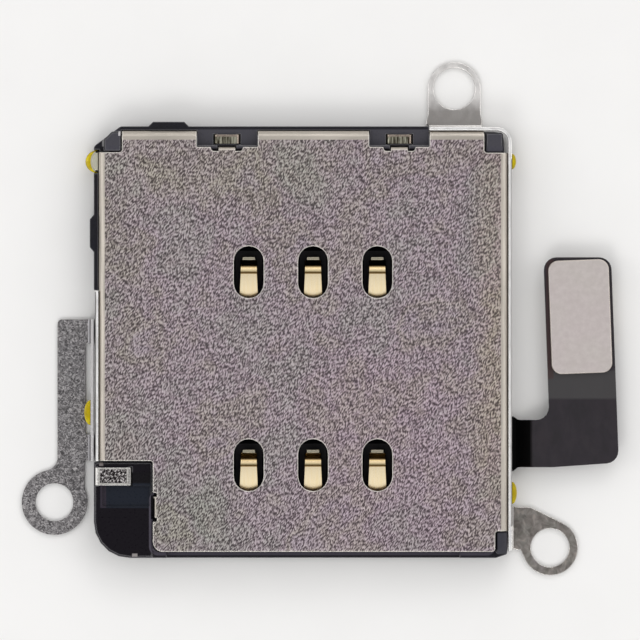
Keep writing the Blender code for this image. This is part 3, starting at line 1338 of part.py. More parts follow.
def main():
    clear_scene()
    blasted = material("blasted_steel", (0.27, 0.25, 0.25), 1.0, 0.45)
    bright = material("bright_steel", (0.62, 0.62, 0.60), 1.0, 0.28)
    grained = material("grained_steel", (0.20, 0.20, 0.20), 1.0, 0.5)
    plastic = material("black_moulding", (0.018, 0.019, 0.022), 0.0, 0.42)
    gold = material("gold_plating", (0.90, 0.68, 0.36), 1.0, 0.25)
    spring = material("spring_steel", (0.55, 0.55, 0.55), 1.0, 0.3)
    film = material("black_film", (0.030, 0.026, 0.032), 0.0, 0.4)
    satin = material("satin_stiffener", (0.52, 0.47, 0.46), 0.8, 0.4)
    yellow = material("yellow_adhesive", (0.78, 0.66, 0.02), 0.0, 0.35)
    build_cover(blasted)
    build_frame(bright)
    build_bracket(grained)
    build_housing(plastic)
    for index, place in enumerate(contact_points(), 1):
        build_contact(f"contact_{index}", place, gold)
    build_lever(spring)
    build_pin(spring)
    build_rod(spring)
    for name, (place, size, seat) in clip_places().items():
        build_clip(name, place, size, seat, grained)
    build_latch_spring(spring)
    build_detect_spring(gold)
    build_detect_terminal(gold)
    build_flex(film)
    build_stiffener(satin)
    build_plug(plastic, gold, spring)
    build_dots(yellow, grained)


main()
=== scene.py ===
# Card socket of a phone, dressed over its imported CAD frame: a blasted steel cover over gold
# blades, a black moulding in a bright steel frame with screw ears, and a black flex tail with its
# stiffener.
# All sizes in the dictionaries are millimetres, seen from above with the card mouth at the bottom.

import math

import bmesh
import bpy
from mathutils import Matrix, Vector


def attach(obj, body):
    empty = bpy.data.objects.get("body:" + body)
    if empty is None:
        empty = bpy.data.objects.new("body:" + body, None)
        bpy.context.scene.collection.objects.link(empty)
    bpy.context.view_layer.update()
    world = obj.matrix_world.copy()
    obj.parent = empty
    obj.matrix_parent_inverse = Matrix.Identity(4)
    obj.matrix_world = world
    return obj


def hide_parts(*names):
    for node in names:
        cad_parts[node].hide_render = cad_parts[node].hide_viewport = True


mm = 0.001
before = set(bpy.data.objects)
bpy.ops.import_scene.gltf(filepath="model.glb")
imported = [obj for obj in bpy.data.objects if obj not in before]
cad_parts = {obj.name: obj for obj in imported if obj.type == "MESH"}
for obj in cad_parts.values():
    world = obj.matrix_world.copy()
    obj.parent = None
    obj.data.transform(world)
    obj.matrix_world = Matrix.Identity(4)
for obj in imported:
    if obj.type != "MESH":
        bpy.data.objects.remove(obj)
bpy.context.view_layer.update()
scene = bpy.context.scene
print("frame loaded:", len(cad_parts), "CAD nodes")


# Small helpers

def linear(code):
    # sRGB hex such as "#8c8284" to the linear colour that the shaders use
    parts = [int(code[place:place + 2], 16) / 255 for place in (1, 3, 5)]
    return tuple(part / 12.92 if part <= 0.04045 else ((part + 0.055) / 1.055) ** 2.4
                 for part in parts) + (1.0,)


def addNode(tree, kind, settings=None, links=None):
    # One node with its settings (sockets by name or number, or plain properties) and its links
    node = tree.nodes.new(kind)
    for name, value in (settings or {}).items():
        if name == "stops":
            marks = node.color_ramp.elements
            while len(marks) < len(value):
                marks.new(0.5)
            for mark, (place, colour) in zip(marks, value):
                mark.position = place
                mark.color = colour
        elif isinstance(name, int) or name in node.inputs:
            node.inputs[name].default_value = value
        else:
            setattr(node, name, value)
    for name, source in (links or {}).items():
        tree.links.new(source, node.inputs[name])
    return node


def newMaterial(name, settings):
    material = bpy.data.materials.new(name)
    material.use_nodes = True
    shader = material.node_tree.nodes["Principled BSDF"]
    for socket, value in settings.items():
        shader.inputs[socket].default_value = value
    return material, material.node_tree, shader


def link(name, mesh, material, body, place):
    # A finished mesh as a piece that rides on its CAD body, with its place in mm
    piece = bpy.data.objects.new(name, mesh)
    piece.location = [value * mm for value in place]
    scene.collection.objects.link(piece)
    mesh.materials.clear()
    mesh.materials.append(material)
    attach(piece, body)
    return piece


def coat(material, *nodes):
    # A CAD node whose shape is right keeps it and takes a finished material
    for node in nodes:
        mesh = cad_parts[node].data
        mesh.materials.clear()
        mesh.materials.append(material)


def grainSpace(tree, size, turn=0.0):
    # Object coordinates counted in grains: size is one grain in mm, turned in plan by degrees
    place = addNode(tree, "ShaderNodeTexCoord")
    return addNode(tree, "ShaderNodeMapping",
                   {"vector_type": "TEXTURE", "Rotation": (0, 0, math.radians(turn)),
                    "Scale": tuple(value * mm for value in size)},
                   {"Vector": place.outputs["Object"]})


def noiseTones(tree, space, codes, spread, settings):
    # Noise in a space, and a ramp that runs through the colours between the spread's two values
    noise = addNode(tree, "ShaderNodeTexNoise", dict({"Scale": 1.0}, **settings),
                    {"Vector": space.outputs[0]})
    low, high = spread
    stops = [(low + (high - low) * step / (len(codes) - 1), linear(code))
             for step, code in enumerate(codes)]
    ramp = addNode(tree, "ShaderNodeValToRGB", {"stops": stops}, {"Fac": noise.outputs["Fac"]})
    return noise, ramp


def over(tree, below, above, factor, blend="MIX"):
    # One colour laid over another: above is a hex code or a socket, factor a number or a socket
    node = addNode(tree, "ShaderNodeMix", {"data_type": "RGBA", "blend_type": blend}, {6: below})
    if isinstance(above, str):
        node.inputs[7].default_value = linear(above)
    else:
        tree.links.new(above, node.inputs[7])
    if isinstance(factor, float):
        node.inputs["Factor"].default_value = factor
    else:
        tree.links.new(factor, node.inputs["Factor"])
    return node.outputs[2]


def blend(tree, below, above, factor):
    # The same for numbers: below is a number or a socket
    node = addNode(tree, "ShaderNodeMix", {"data_type": "FLOAT", 3: above}, {"Factor": factor})
    if isinstance(below, float):
        node.inputs[2].default_value = below
    else:
        tree.links.new(below, node.inputs[2])
    return node.outputs[0]


def boxMask(tree, box, radius, soft, amount=1.0):
    # Amount inside a plan box with round corners and 0 outside it: left, front, right, back in mm
    place = addNode(tree, "ShaderNodeTexCoord")
    sides = list(zip(box[:2], box[2:]))
    middle = [(low + high) / 2 * mm for low, high in sides] + [0.0]
    half = [((high - low) / 2 - radius) * mm for low, high in sides] + [1.0]
    value = place.outputs["Object"]
    for operation, other in (("SUBTRACT", middle), ("ABSOLUTE", None), ("SUBTRACT", half),
                             ("MAXIMUM", (0, 0, 0)), ("LENGTH", None)):
        step = addNode(tree, "ShaderNodeVectorMath", {"operation": operation}, {0: value})
        if other is not None:
            step.inputs[1].default_value = other
        value = step.outputs["Value" if operation == "LENGTH" else "Vector"]
    return addNode(tree, "ShaderNodeMapRange",
                   {"From Min": (radius + soft) * mm, "From Max": max(radius - soft, 0.0) * mm,
                    "To Min": 0.0, "To Max": amount}, {"Value": value}).outputs[0]


# What all the finishes share. Spreads are the noise values between which the tones run.
finish = {
    "grainRoughness": 0.55, "grainSpread": (0.32, 0.68),
    "cloudNoise": {"Detail": 3.0, "Roughness": 0.6}, "cloudSpread": (0.30, 0.70),
    # streaks in the painted light of the bends: their size in mm and their noise
    "line": (2.5, 2.5, 0.03), "lineNoise": {"Detail": 2.0}, "lineSpread": (0.35, 0.65),
    # cosine between the true and the rounded normal where an edge begins and where it is full
    "edge": (0.99, 0.93), "edgeSamples": 6,
    # how much of the dents an edge or a bend takes away
    "smoothing": 0.85,
    # softness in mm: the lower limit of the painted highlight above a level, and the corners and
    # rim of the grain's box
    "cutSoft": 0.05, "boxRound": 0.3, "boxSoft": 0.015,
}


def highMask(tree, level):
    # 1 above a level in mm
    place = addNode(tree, "ShaderNodeTexCoord")
    split = addNode(tree, "ShaderNodeSeparateXYZ", {}, {"Vector": place.outputs["Object"]})
    soft = finish["cutSoft"]
    return addNode(tree, "ShaderNodeMapRange",
                   {"From Min": (level - soft) * mm, "From Max": (level + soft) * mm},
                   {"Value": split.outputs["Z"]}).outputs[0]


def slopeMasks(tree, turns, rounded):
    # Where the surface turns away from level, and where it is broken along an edge
    place = addNode(tree, "ShaderNodeTexCoord")
    split = addNode(tree, "ShaderNodeSeparateXYZ", {}, {"Vector": place.outputs["Normal"]})
    level = addNode(tree, "ShaderNodeMath", {"operation": "ABSOLUTE"}, {0: split.outputs["Z"]})
    turned = addNode(tree, "ShaderNodeMapRange", {"From Min": turns[0], "From Max": turns[1]},
                     {"Value": level.outputs[0]})
    surface = addNode(tree, "ShaderNodeNewGeometry")
    along = addNode(tree, "ShaderNodeVectorMath", {"operation": "DOT_PRODUCT"},
                    {0: surface.outputs["True Normal"], 1: rounded.outputs[0]})
    begins, full = finish["edge"]
    broken = addNode(tree, "ShaderNodeMapRange", {"From Min": begins, "From Max": full},
                     {"Value": along.outputs["Value"]})
    return turned.outputs[0], broken.outputs[0]


def patched(tree, look, colour, gloss, late):
    # Patches tint a part of the piece in plan, the late ones over its bends and rims as well
    for patch in look.get("patches", []):
        if patch.get("late", False) != late:
            continue
        mask = boxMask(tree, patch["box"], patch.get("round", 0.0), patch.get("soft", 0.02),
                       patch.get("amount", 1.0))
        colour = over(tree, colour, patch["colour"], mask, patch.get("blend", "MIX"))
        if "gloss" in patch:
            gloss = blend(tree, gloss, patch["gloss"], mask)
    return colour, gloss


def grainFinish(name, look):
    # Grain in tones and dents over the level faces, and painted light and shade over the bends,
    # with long streaks, and along every edge, in tones that each finish gives. Above a level a
    # finish can paint a highlight over all, and grainBox is the plan box that the grain fills.
    material, tree, shader = newMaterial(name, look["shader"])
    spread = look.get("spread", finish["grainSpread"])
    grain, tone = noiseTones(tree, grainSpace(tree, look["grain"], look.get("turn", 0.0)),
                             look["tones"], spread,
                             {"Detail": look["detail"], "Roughness": finish["grainRoughness"],
                              "Distortion": look["twist"]})
    _, tint = noiseTones(tree, grainSpace(tree, (look["cloud"],) * 3), look["clouds"],
                         finish["cloudSpread"], finish["cloudNoise"])
    colour = over(tree, tone.outputs["Color"], tint.outputs["Color"], look["cloudy"], "OVERLAY")
    gloss = shader.inputs["Specular IOR Level"].default_value
    colour, gloss = patched(tree, look, colour, gloss, False)
    rounded = addNode(tree, "ShaderNodeBevel",
                      {"samples": finish["edgeSamples"], "Radius": look["round"] * mm})
    turned, broken = slopeMasks(tree, look["turns"], rounded)
    if "grainBox" in look:
        inside = boxMask(tree, look["grainBox"], finish["boxRound"], finish["boxSoft"])
        outside = addNode(tree, "ShaderNodeMath", {"operation": "SUBTRACT", 0: 1.0}, {1: inside})
        turned = addNode(tree, "ShaderNodeMath", {"operation": "MAXIMUM"},
                         {0: turned, 1: outside.outputs[0]}).outputs[0]
    # painted light and shade over the bends, with long streaks in it
    _, lines = noiseTones(tree, grainSpace(tree, finish["line"]), look["slopeLightShade"],
                          finish["lineSpread"], finish["lineNoise"])
    colour = over(tree, colour, lines.outputs["Color"], turned)
    # a painted highlight over all above a level
    if "cut" in look:
        level, code = look["cut"]
        colour = over(tree, colour, code, highMask(tree, level))
    # painted light and shade along every edge, in the edge tone of each finish
    colour = over(tree, colour, look["rim"], broken)
    colour, gloss = patched(tree, look, colour, gloss, True)
    tree.links.new(colour, shader.inputs["Base Color"])
    if not isinstance(gloss, float):
        tree.links.new(gloss, shader.inputs["Specular IOR Level"])
    smooth, coarse = look["rough"]
    rough = addNode(tree, "ShaderNodeMapRange",
                    {"From Min": spread[0], "From Max": spread[1],
                     "To Min": coarse, "To Max": smooth},
                    {"Value": grain.outputs["Fac"]})
    edge = addNode(tree, "ShaderNodeMath", {"operation": "MAXIMUM"}, {0: turned, 1: broken})
    tree.links.new(blend(tree, rough.outputs[0], look["rimRough"], edge.outputs[0]),
                   shader.inputs["Roughness"])
    flatness = addNode(tree, "ShaderNodeMath",
                       {"operation": "MULTIPLY_ADD", 1: -finish["smoothing"], 2: 1.0},
                       {0: edge.outputs[0]})
    dents = addNode(tree, "ShaderNodeBump", {"Distance": look["dent"] * mm},
                    {"Height": grain.outputs["Fac"], "Strength": flatness.outputs[0],
                     "Normal": rounded.outputs[0]})
    tree.links.new(dents.outputs["Normal"], shader.inputs["Normal"])
    return material


# Camera, floor and studio

view = {
    "across": 25.296, "middle": (0.655, 0.840),
    # the distance is measured from the cover's face, at this level
    "distance": 600.0, "level": 0.9, "sensor": 36.0, "clip": (10.0, 10000.0),
}
studio = {
    # floor: tones of its paper, their size and spread, then its own size and level
    "tones": ["#f1f0ee", "#efeeec"], "fibre": 3.0, "spread": (0.3, 0.7),
    "fibreNoise": {"Detail": 3.0},
    "paper": {"Roughness": 0.9, "Specular IOR Level": 0.2}, "floorSize": 900.0, "floorLevel": -0.02,
    # sky: the middle of its dark disc, then grey by the cosine of the angle from there
    "dark": (0.02, 0.09, 1.0), "cool": 1.01,
    "sky": [(0.0, 0.60), (0.55, 0.74), (0.88, 0.94), (0.955, 0.90), (0.982, 0.40), (1.0, 0.12)],
    # softboxes: place, size and watts
    "boxes": [((-60, -190, 250), (150, 110), 0.17), ((70, 210, 190), (170, 90), 0.09),
              ((-240, 20, 150), (90, 160), 0.07), ((230, 30, 170), (80, 150), 0.06)],
}


def setCamera():
    lens = bpy.data.cameras.new("photoCamera")
    lens.sensor_fit = "HORIZONTAL"
    lens.sensor_width = view["sensor"]
    lens.lens = view["sensor"] * view["distance"] / view["across"]
    lens.clip_start, lens.clip_end = [value * mm for value in view["clip"]]
    camera = bpy.data.objects.new("photoCamera", lens)
    x, y = view["middle"]
    camera.location = (x * mm, y * mm, (view["distance"] + view["level"]) * mm)
    scene.collection.objects.link(camera)
    scene.camera = camera
    scene.view_settings.view_transform = "Standard"


def setFloor():
    half, low = studio["floorSize"] / 2 * mm, studio["floorLevel"] * mm
    mesh = bpy.data.meshes.new("studioFloor")
    corners = [(-half, -half, low), (half, -half, low), (half, half, low), (-half, half, low)]
    mesh.from_pydata(corners, [], [(0, 1, 2, 3)])
    material, tree, shader = newMaterial("floorPaperMatte", studio["paper"])
    _, paper = noiseTones(tree, grainSpace(tree, (studio["fibre"],) * 3), studio["tones"],
                          studio["spread"], studio["fibreNoise"])
    tree.links.new(paper.outputs["Color"], shader.inputs["Base Color"])
    mesh.materials.append(material)
    floor = bpy.data.objects.new("studioFloor", mesh)
    scene.collection.objects.link(floor)


def setLights():
    for index, (place, size, watts) in enumerate(studio["boxes"], 1):
        lamp = bpy.data.lights.new(f"softbox{index}", "AREA")
        lamp.shape = "RECTANGLE"
        lamp.size, lamp.size_y = size[0] * mm, size[1] * mm
        lamp.energy = watts
        box = bpy.data.objects.new(lamp.name, lamp)
        box.location = [value * mm for value in place]
        box.rotation_euler = (-Vector(place)).to_track_quat("-Z", "Y").to_euler()
        box.visible_camera = False
        scene.collection.objects.link(box)
    world = bpy.data.worlds.new("studioRoom")
    scene.world = world
    world.use_nodes = True
    tree = world.node_tree
    place = addNode(tree, "ShaderNodeTexCoord")
    away = addNode(tree, "ShaderNodeVectorMath",
                   {"operation": "DOT_PRODUCT", 1: Vector(studio["dark"]).normalized()},
                   {0: place.outputs["Generated"]})
    stops = [(height, (grey, grey, grey * studio["cool"], 1.0)) for height, grey in studio["sky"]]
    sky = addNode(tree, "ShaderNodeValToRGB", {"stops": stops}, {"Fac": away.outputs["Value"]})
    tree.links.new(sky.outputs["Color"], tree.nodes["Background"].inputs["Color"])


setCamera()
setFloor()
setLights()
print("stage set")


# Cover: cold-rolled stainless sheet, pressed and blasted with grit, so it reads as a grey sparkle
# of worm-like dents, while the bends and sheared edges stay smooth, with cream painted light on
# them

coverLook = {
    "shader": {"Metallic": 1.0},
    # one grit dent, about 0.05 by 0.12 mm, as large as in the photo
    "grain": (0.046, 0.115, 0.046), "turn": -26.0, "detail": 0.0, "twist": 0.2,
    "spread": (0.34, 0.66),
    "tones": ["#534c4f", "#82797c", "#998f92", "#beb5b8"],
    "cloud": 2.4, "clouds": ["#bcb9b5", "#b9bcb7", "#c1b9bf", "#bdbbb0", "#bfb9c0"], "cloudy": 0.65,
    # painted cream light on the bends and a painted highlight along every edge
    "turns": (0.995, 0.93), "slopeLightShade": ["#b3aca2", "#cac2b7"], "rim": "#f0ebe2", "rimRough": 0.42,
    "round": 0.075, "rough": (0.34, 0.5), "dent": 0.030,
    # grit stops short of the bends, which were masked by the die; outside this box the bends'
    # painted light lies over the face as well
    "grainBox": (-7.84, -9.0, 7.80, 7.96),
    "patches": [
        # steep face of the side tab, in the cover's own shadow
        {"box": (-5.95, -6.97, -5.87, -6.2), "soft": 0.01, "colour": "#1a1819", "late": True},
        # faint tints: greenish at the back left, at the front left corner and along both
        # sides, pink over the front right
        {"box": (-8.2, 5.6, 1.5, 8.5), "round": 1.0, "soft": 0.9, "colour": "#b9bdb4",
         "amount": 0.8, "blend": "OVERLAY"},
        {"box": (-8.2, -8.5, -3.0, -5.5), "round": 1.0, "soft": 0.9, "colour": "#b3bab2",
         "amount": 0.9, "blend": "OVERLAY"},
        {"box": (-8.2, -6.0, -6.6, 6.0), "round": 0.5, "soft": 0.5, "colour": "#b6b9b4",
         "amount": 0.8, "blend": "OVERLAY"},
        {"box": (6.9, -6.5, 8.2, 7.5), "round": 0.4, "soft": 0.4, "colour": "#c2c1b4",
         "amount": 0.7, "blend": "OVERLAY"},
        {"box": (0.5, -8.2, 6.5, -0.5), "round": 1.5, "soft": 1.2, "colour": "#c4b7c2",
         "amount": 0.25, "blend": "OVERLAY"},
    ],
}
coat(grainFinish("stainlessGritBlasted", coverLook), "top_shell")
print("cover done")


# Frame: stainless strip, rolled bright and pressed, almost white on its edges with painted
# highlights, and with soft cloudy ears

frameLook = {
    "shader": {"Metallic": 1.0},
    # roll marks are a few hundredths of a millimetre and are drawn some ten times coarser
    "grain": (0.26, 0.36, 0.26), "turn": 20.0, "detail": 4.0, "twist": 0.6, "spread": (0.35, 0.65),
    "tones": ["#7f7a77", "#98938f", "#ada8a4", "#c8c3bf"],
    "cloud": 0.75, "clouds": ["#787a74", "#86807c", "#80827a", "#8c858a"], "cloudy": 0.5,
    # painted light: pale tones on the bends, a painted highlight along every edge, and a near-white
    # painted highlight over all above 1.2 mm
    "turns": (0.99, 0.90), "slopeLightShade": ["#b9b5b2", "#e6e3df"], "rim": "#f5f2ee", "rimRough": 0.22,
    "round": 0.05, "rough": (0.30, 0.42), "dent": 0.004, "cut": (1.2, "#fbfaf8"),
    "patches": [
        # painted reflection: the back ear paler, and palest towards its ring
        {"box": (4.8, 8.5, 7.2, 11.3), "soft": 0.2, "colour": "#bcb8b5", "amount": 0.75},
        {"box": (4.8, 9.6, 7.2, 11.3), "soft": 0.5, "colour": "#f0edea"},
        # painted shade of the gap along the outside of the left wall
        {"box": (-8.29, -4.75, -8.205, 1.95), "soft": 0.012, "colour": "#3a3937", "late": True},
        # painted shade over the outer half of the right wall's sheared top
        {"box": (8.2, -7.3, 8.32, 7.2), "soft": 0.012, "colour": "#8f8c8a", "amount": 0.8,
         "late": True},
    ],
}
coat(grainFinish("stainlessRolledBright", frameLook), "mounting_frame")
print("frame done")


# Left bracket: stainless sheet with a coarse dull-rolled face, neutral grey and finely mottled

bracketLook = {
    "shader": {"Metallic": 1.0},
    # the mottle of the dull rolls, about 0.1 mm, as large as in the photo
    "grain": (0.10, 0.10, 0.10), "detail": 1.0, "twist": 1.2, "spread": (0.34, 0.66),
    "tones": ["#595758", "#7d7a7b", "#979495", "#c0bdbd"],
    "cloud": 1.2, "clouds": ["#757677", "#80807f", "#8a8988"], "cloudy": 0.35,
    # painted light on the bends, a painted highlight along every edge, and a pale painted highlight
    # over all above 1.0 mm
    "turns": (0.99, 0.90), "slopeLightShade": ["#7a787a", "#989698"], "rim": "#c4c1be", "rimRough": 0.3,
    "round": 0.03, "rough": (0.36, 0.52), "dent": 0.022, "cut": (1.0, "#c2c0c0"),
}
coat(grainFinish("stainlessDullRolled", bracketLook), "left_bracket")
print("bracket done")


# Housing: black glass-filled LCP, injection moulded, near-black with a cool satin face and a pale
# painted highlight along its edges

housingLook = {
    "shader": {"IOR": 1.5, "Specular IOR Level": 0.15},
    # the fibres that mottle its skin are near 0.01 mm and are drawn ten times coarser
    "grain": (0.10, 0.10, 0.10), "detail": 2.0, "twist": 0.0,
    "tones": ["#212024", "#27262b", "#2e2d33"],
    "cloud": 1.6, "clouds": ["#6c6c84", "#808084", "#8a7880"], "cloudy": 0.6,
    # painted shade on the slopes, and a pale painted highlight along every edge
    "turns": (0.97, 0.75), "slopeLightShade": ["#1c1b20", "#242328"], "rim": "#7c7b7d", "rimRough": 0.34,
    "round": 0.05, "rough": (0.26, 0.36), "dent": 0.003,
    "patches": [
        # painted shade: all under the cover and in its windows is near-black, with little gloss
        {"box": (-5.9, -8.25, 7.9, 7.6), "round": 0.3, "soft": 0.05, "colour": "#030304",
         "gloss": 0.02, "late": True},
        # slate top of the back row and its posts, and of the front right post
        {"box": (-7.87, 7.62, 7.9, 8.37), "round": 0.05, "soft": 0.03, "colour": "#47464c",
         "amount": 0.9},
        {"box": (-7.87, 7.44, -7.17, 7.70), "soft": 0.03, "colour": "#44434a"},
        {"box": (7.20, 7.44, 7.9, 7.70), "soft": 0.03, "colour": "#44434a", "late": True},
        {"box": (7.66, -8.42, 8.03, -7.50), "round": 0.05, "soft": 0.03, "colour": "#3d3d43",
         "late": True},
        # corner block, near-black plum, and the navy pane with its plum rim
        {"box": (-8.2, -8.5, -5.95, -4.75), "round": 0.1, "soft": 0.06, "colour": "#0e0a11"},
        {"box": (-8.01, -6.57, -6.06, -5.35), "soft": 0.03, "colour": "#1b1f28", "late": True},
        {"box": (-8.01, -6.57, -7.80, -5.35), "soft": 0.02, "colour": "#2f2a33", "late": True},
        {"box": (-6.92, -5.58, -6.06, -5.2), "soft": 0.06, "colour": "#0c0a0e", "late": True},
        # a painted highlight along the chamfer of the back left post, a pale speck beside it, two
        # pale gate marks on the block
        {"box": (-7.95, 7.70, -7.88, 8.03), "soft": 0.01, "colour": "#8d8c8c", "amount": 0.8,
         "late": True},
        {"box": (-7.30, 8.12, -7.23, 8.29), "soft": 0.01, "colour": "#c8c4c4", "amount": 0.9,
         "late": True},
        {"box": (-6.75, -8.50, -6.57, -8.40), "soft": 0.03, "colour": "#8a8583", "late": True},
        {"box": (-8.05, -4.91, -7.92, -4.80), "soft": 0.03, "colour": "#77706f", "late": True},
        # rib beside the cover that turns into the line along its front, and painted shade in the
        # gap inside it
        {"box": (-6.10, -8.46, 7.6, -5.92), "round": 0.36, "soft": 0.01, "colour": "#4a4650",
         "late": True},
        {"box": (-5.955, -8.33, 7.6, -5.90), "round": 0.28, "soft": 0.01, "colour": "#08070a",
         "late": True},
    ],
}
housingPlastic = grainFinish("lcpBlackMoulded", housingLook)
coat(housingPlastic, "base_housing")
print("housing done")


# Contacts: phosphor bronze strip, gold plated over nickel, bright with a fine rolling line along
# the blade, a painted dark reflection on the crest, a painted shadow under the curl and painted
# highlights

bladeLook = {
    "arm": 2.65, "foot": 0.60, "sheet": 0.10, "lip": 0.10, "footLevel": 0.30, "crestLevel": 1.13,
    # strip widths at the foot, the arm, the crest and the lip, and the length it narrows over
    "widths": (0.55, 0.76, 0.66, 0.50), "taper": 1.0,
    # knees of the arm: how far before the crest and how far below it
    "knees": ((1.15, 0.14), (1.00, 0.11), (0.50, 0.045)),
    # crest's radius, slope of the face before it and after it, then run, bend radius and next slope
    "round": 0.42, "tilt": 5.0, "drop": 26.0, "tail": ((0.062, 0.08, 50.0), (0.286, 0.10, 0.0)),
    "pitch": 2.54, "rows": (2.71, -4.91), "middle": 0.38,
    # gold along the blade with painted light on it: distance from the crest in mm and the colour
    # there
    # dark stops at the crest are a painted reflection, the dark brown near 0.26 mm a painted shadow
    # under the curl, and the palest stops at both ends painted highlights
    "gold": [(-0.055, "#fbe8c0"), (-0.03, "#92713a"), (0.015, "#92713a"), (0.04, "#e6cf9f"),
             (0.14, "#e9d3a8"), (0.21, "#9c8763"), (0.26, "#3e301c"), (0.46, "#86652f"),
             (0.52, "#fff6dc")],
    "goldSpan": 0.6, "plating": {"Metallic": 1.0, "Roughness": 0.2},
    # rolling lines, near 0.01 mm and drawn coarser: size, tones, their share and their depth
    "rolling": (0.06, 0.9, 0.5), "lines": ["#a8a8a8", "#bcbcbc", "#cccccc"], "lineShare": 0.3,
    "lineDepth": 0.0006,
    # mesh: steps over the crest, shares of a bend, the angle that stays a crease, and the small
    # round along the strip's edges as width, segments and least angle
    "crestSteps": 14, "bendShares": (0.17, 0.33, 0.5, 0.67, 0.83, 1), "crease": 40,
    "edges": (0.02, 3, 50),
}


def goldPlate():
    look = bladeLook
    material, tree, shader = newMaterial("bronzeGoldPlated", look["plating"])
    rolled, lines = noiseTones(tree, grainSpace(tree, look["rolling"]), look["lines"],
                               finish["lineSpread"], {"Detail": 1.0})
    place = addNode(tree, "ShaderNodeTexCoord")
    split = addNode(tree, "ShaderNodeSeparateXYZ", {}, {"Vector": place.outputs["Object"]})
    span = look["goldSpan"]
    along = addNode(tree, "ShaderNodeMapRange", {"From Min": -span * mm, "From Max": span * mm},
                    {"Value": split.outputs["Y"]})
    stops = [(0.5 + away / (2 * span), linear(code)) for away, code in look["gold"]]
    plated = addNode(tree, "ShaderNodeValToRGB", {"stops": stops}, {"Fac": along.outputs[0]})
    tree.links.new(over(tree, plated.outputs["Color"], lines.outputs["Color"], look["lineShare"],
                        "OVERLAY"), shader.inputs["Base Color"])
    ridges = addNode(tree, "ShaderNodeBump", {"Distance": look["lineDepth"] * mm, "Strength": 1.0},
                     {"Height": rolled.outputs["Fac"]})
    tree.links.new(ridges.outputs["Normal"], shader.inputs["Normal"])
    return material


def bladeLine():
    # Middle of the strip as (y, z, half width), with y = 0 at the crest, from the foot to the lip
    look = bladeLook
    arm, sheet, low, crest = [look[part] for part in ("arm", "sheet", "footLevel", "crestLevel")]
    foot, root, tip, lip = (width / 2 for width in look["widths"])
    knee, depth = look["knees"][0]
    slope = (crest - depth - low) / (arm - knee)
    line = [(-arm - look["foot"], low, foot), (-arm - sheet, low, foot),
            (-arm + sheet, low + sheet * slope, (foot + root) / 2),
            ((-arm - knee) / 2, (low + crest - depth) / 2, root)]
    for back, down in look["knees"]:
        line.append((-back, crest - down, tip + (root - tip) * min(1, back / look["taper"])))
    drop, tilt = math.radians(look["drop"]), math.radians(look["tilt"])
    steps, radius = look["crestSteps"], look["round"]
    for step in range(steps + 1):
        fall = (drop + tilt) * step / steps - tilt
        line.append((radius * math.sin(fall), crest - radius * (1 - math.cos(fall)), tip))
    fall = drop
    for run, radius, steeper in look["tail"]:
        y, z, _ = line[-1]
        y, z = y + run * math.cos(fall), z - run * math.sin(fall)
        line.append((y, z, tip))
        turn = math.copysign(radius, math.radians(steeper) - fall)
        for share in look["bendShares"]:
            angle = fall + (math.radians(steeper) - fall) * share
            width = tip if turn > 0 else tip + (lip - tip) * share
            line.append((y + turn * (math.sin(angle) - math.sin(fall)),
                         z - turn * (math.cos(fall) - math.cos(angle)), width))
        fall = math.radians(steeper)
    y, z, _ = line[-1]
    line.append((y + look["lip"], z, lip))
    return line


def makeBlade(index, place, material):
    # The strip swept along its line, with the small round that rolling leaves on its edges
    line = bladeLine()
    half = bladeLook["sheet"] / 2
    work = bmesh.new()
    rings = []
    for step, (y, z, width) in enumerate(line):
        before, after = line[max(step - 1, 0)], line[min(step + 1, len(line) - 1)]
        along = Vector((after[0] - before[0], after[1] - before[1])).normalized()
        ring = []
        for side, up in ((-1, -1), (1, -1), (1, 1), (-1, 1)):
            point = (side * width, y - along.y * half * up, z + along.x * half * up)
            ring.append(work.verts.new([value * mm for value in point]))
        rings.append(ring)
    work.faces.new(rings[0][::-1])
    work.faces.new(rings[-1])
    for first, second in zip(rings, rings[1:]):
        for corner in range(4):
            beside = (corner + 1) % 4
            work.faces.new([first[corner], first[beside], second[beside], second[corner]])
    bmesh.ops.recalc_face_normals(work, faces=work.faces)
    mesh = bpy.data.meshes.new(f"blade_{index}")
    work.to_mesh(mesh)
    work.free()
    mesh.shade_smooth()
    mesh.set_sharp_from_angle(angle=math.radians(bladeLook["crease"]))
    piece = link(f"blade_{index}", mesh, material, f"contact_{index}_blade", (*place, 0.0))
    width, segments, angle = bladeLook["edges"]
    bevel = piece.modifiers.new("brokenEdges", "BEVEL")
    bevel.width = width * mm
    bevel.segments = segments
    bevel.limit_method = "ANGLE"
    bevel.angle_limit = math.radians(angle)
    bevel.use_clamp_overlap = False
    bevel.harden_normals = True
    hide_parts(f"contact_{index}")


gold = goldPlate()
for index in range(6):
    column = bladeLook["middle"] + (index % 3 - 1) * bladeLook["pitch"]
    makeBlade(index + 1, (column, bladeLook["rows"][index // 3]), gold)
print("contacts done")


# Small clips: nickel silver, coined with a knurl, a bright rim round a mottled dark panel

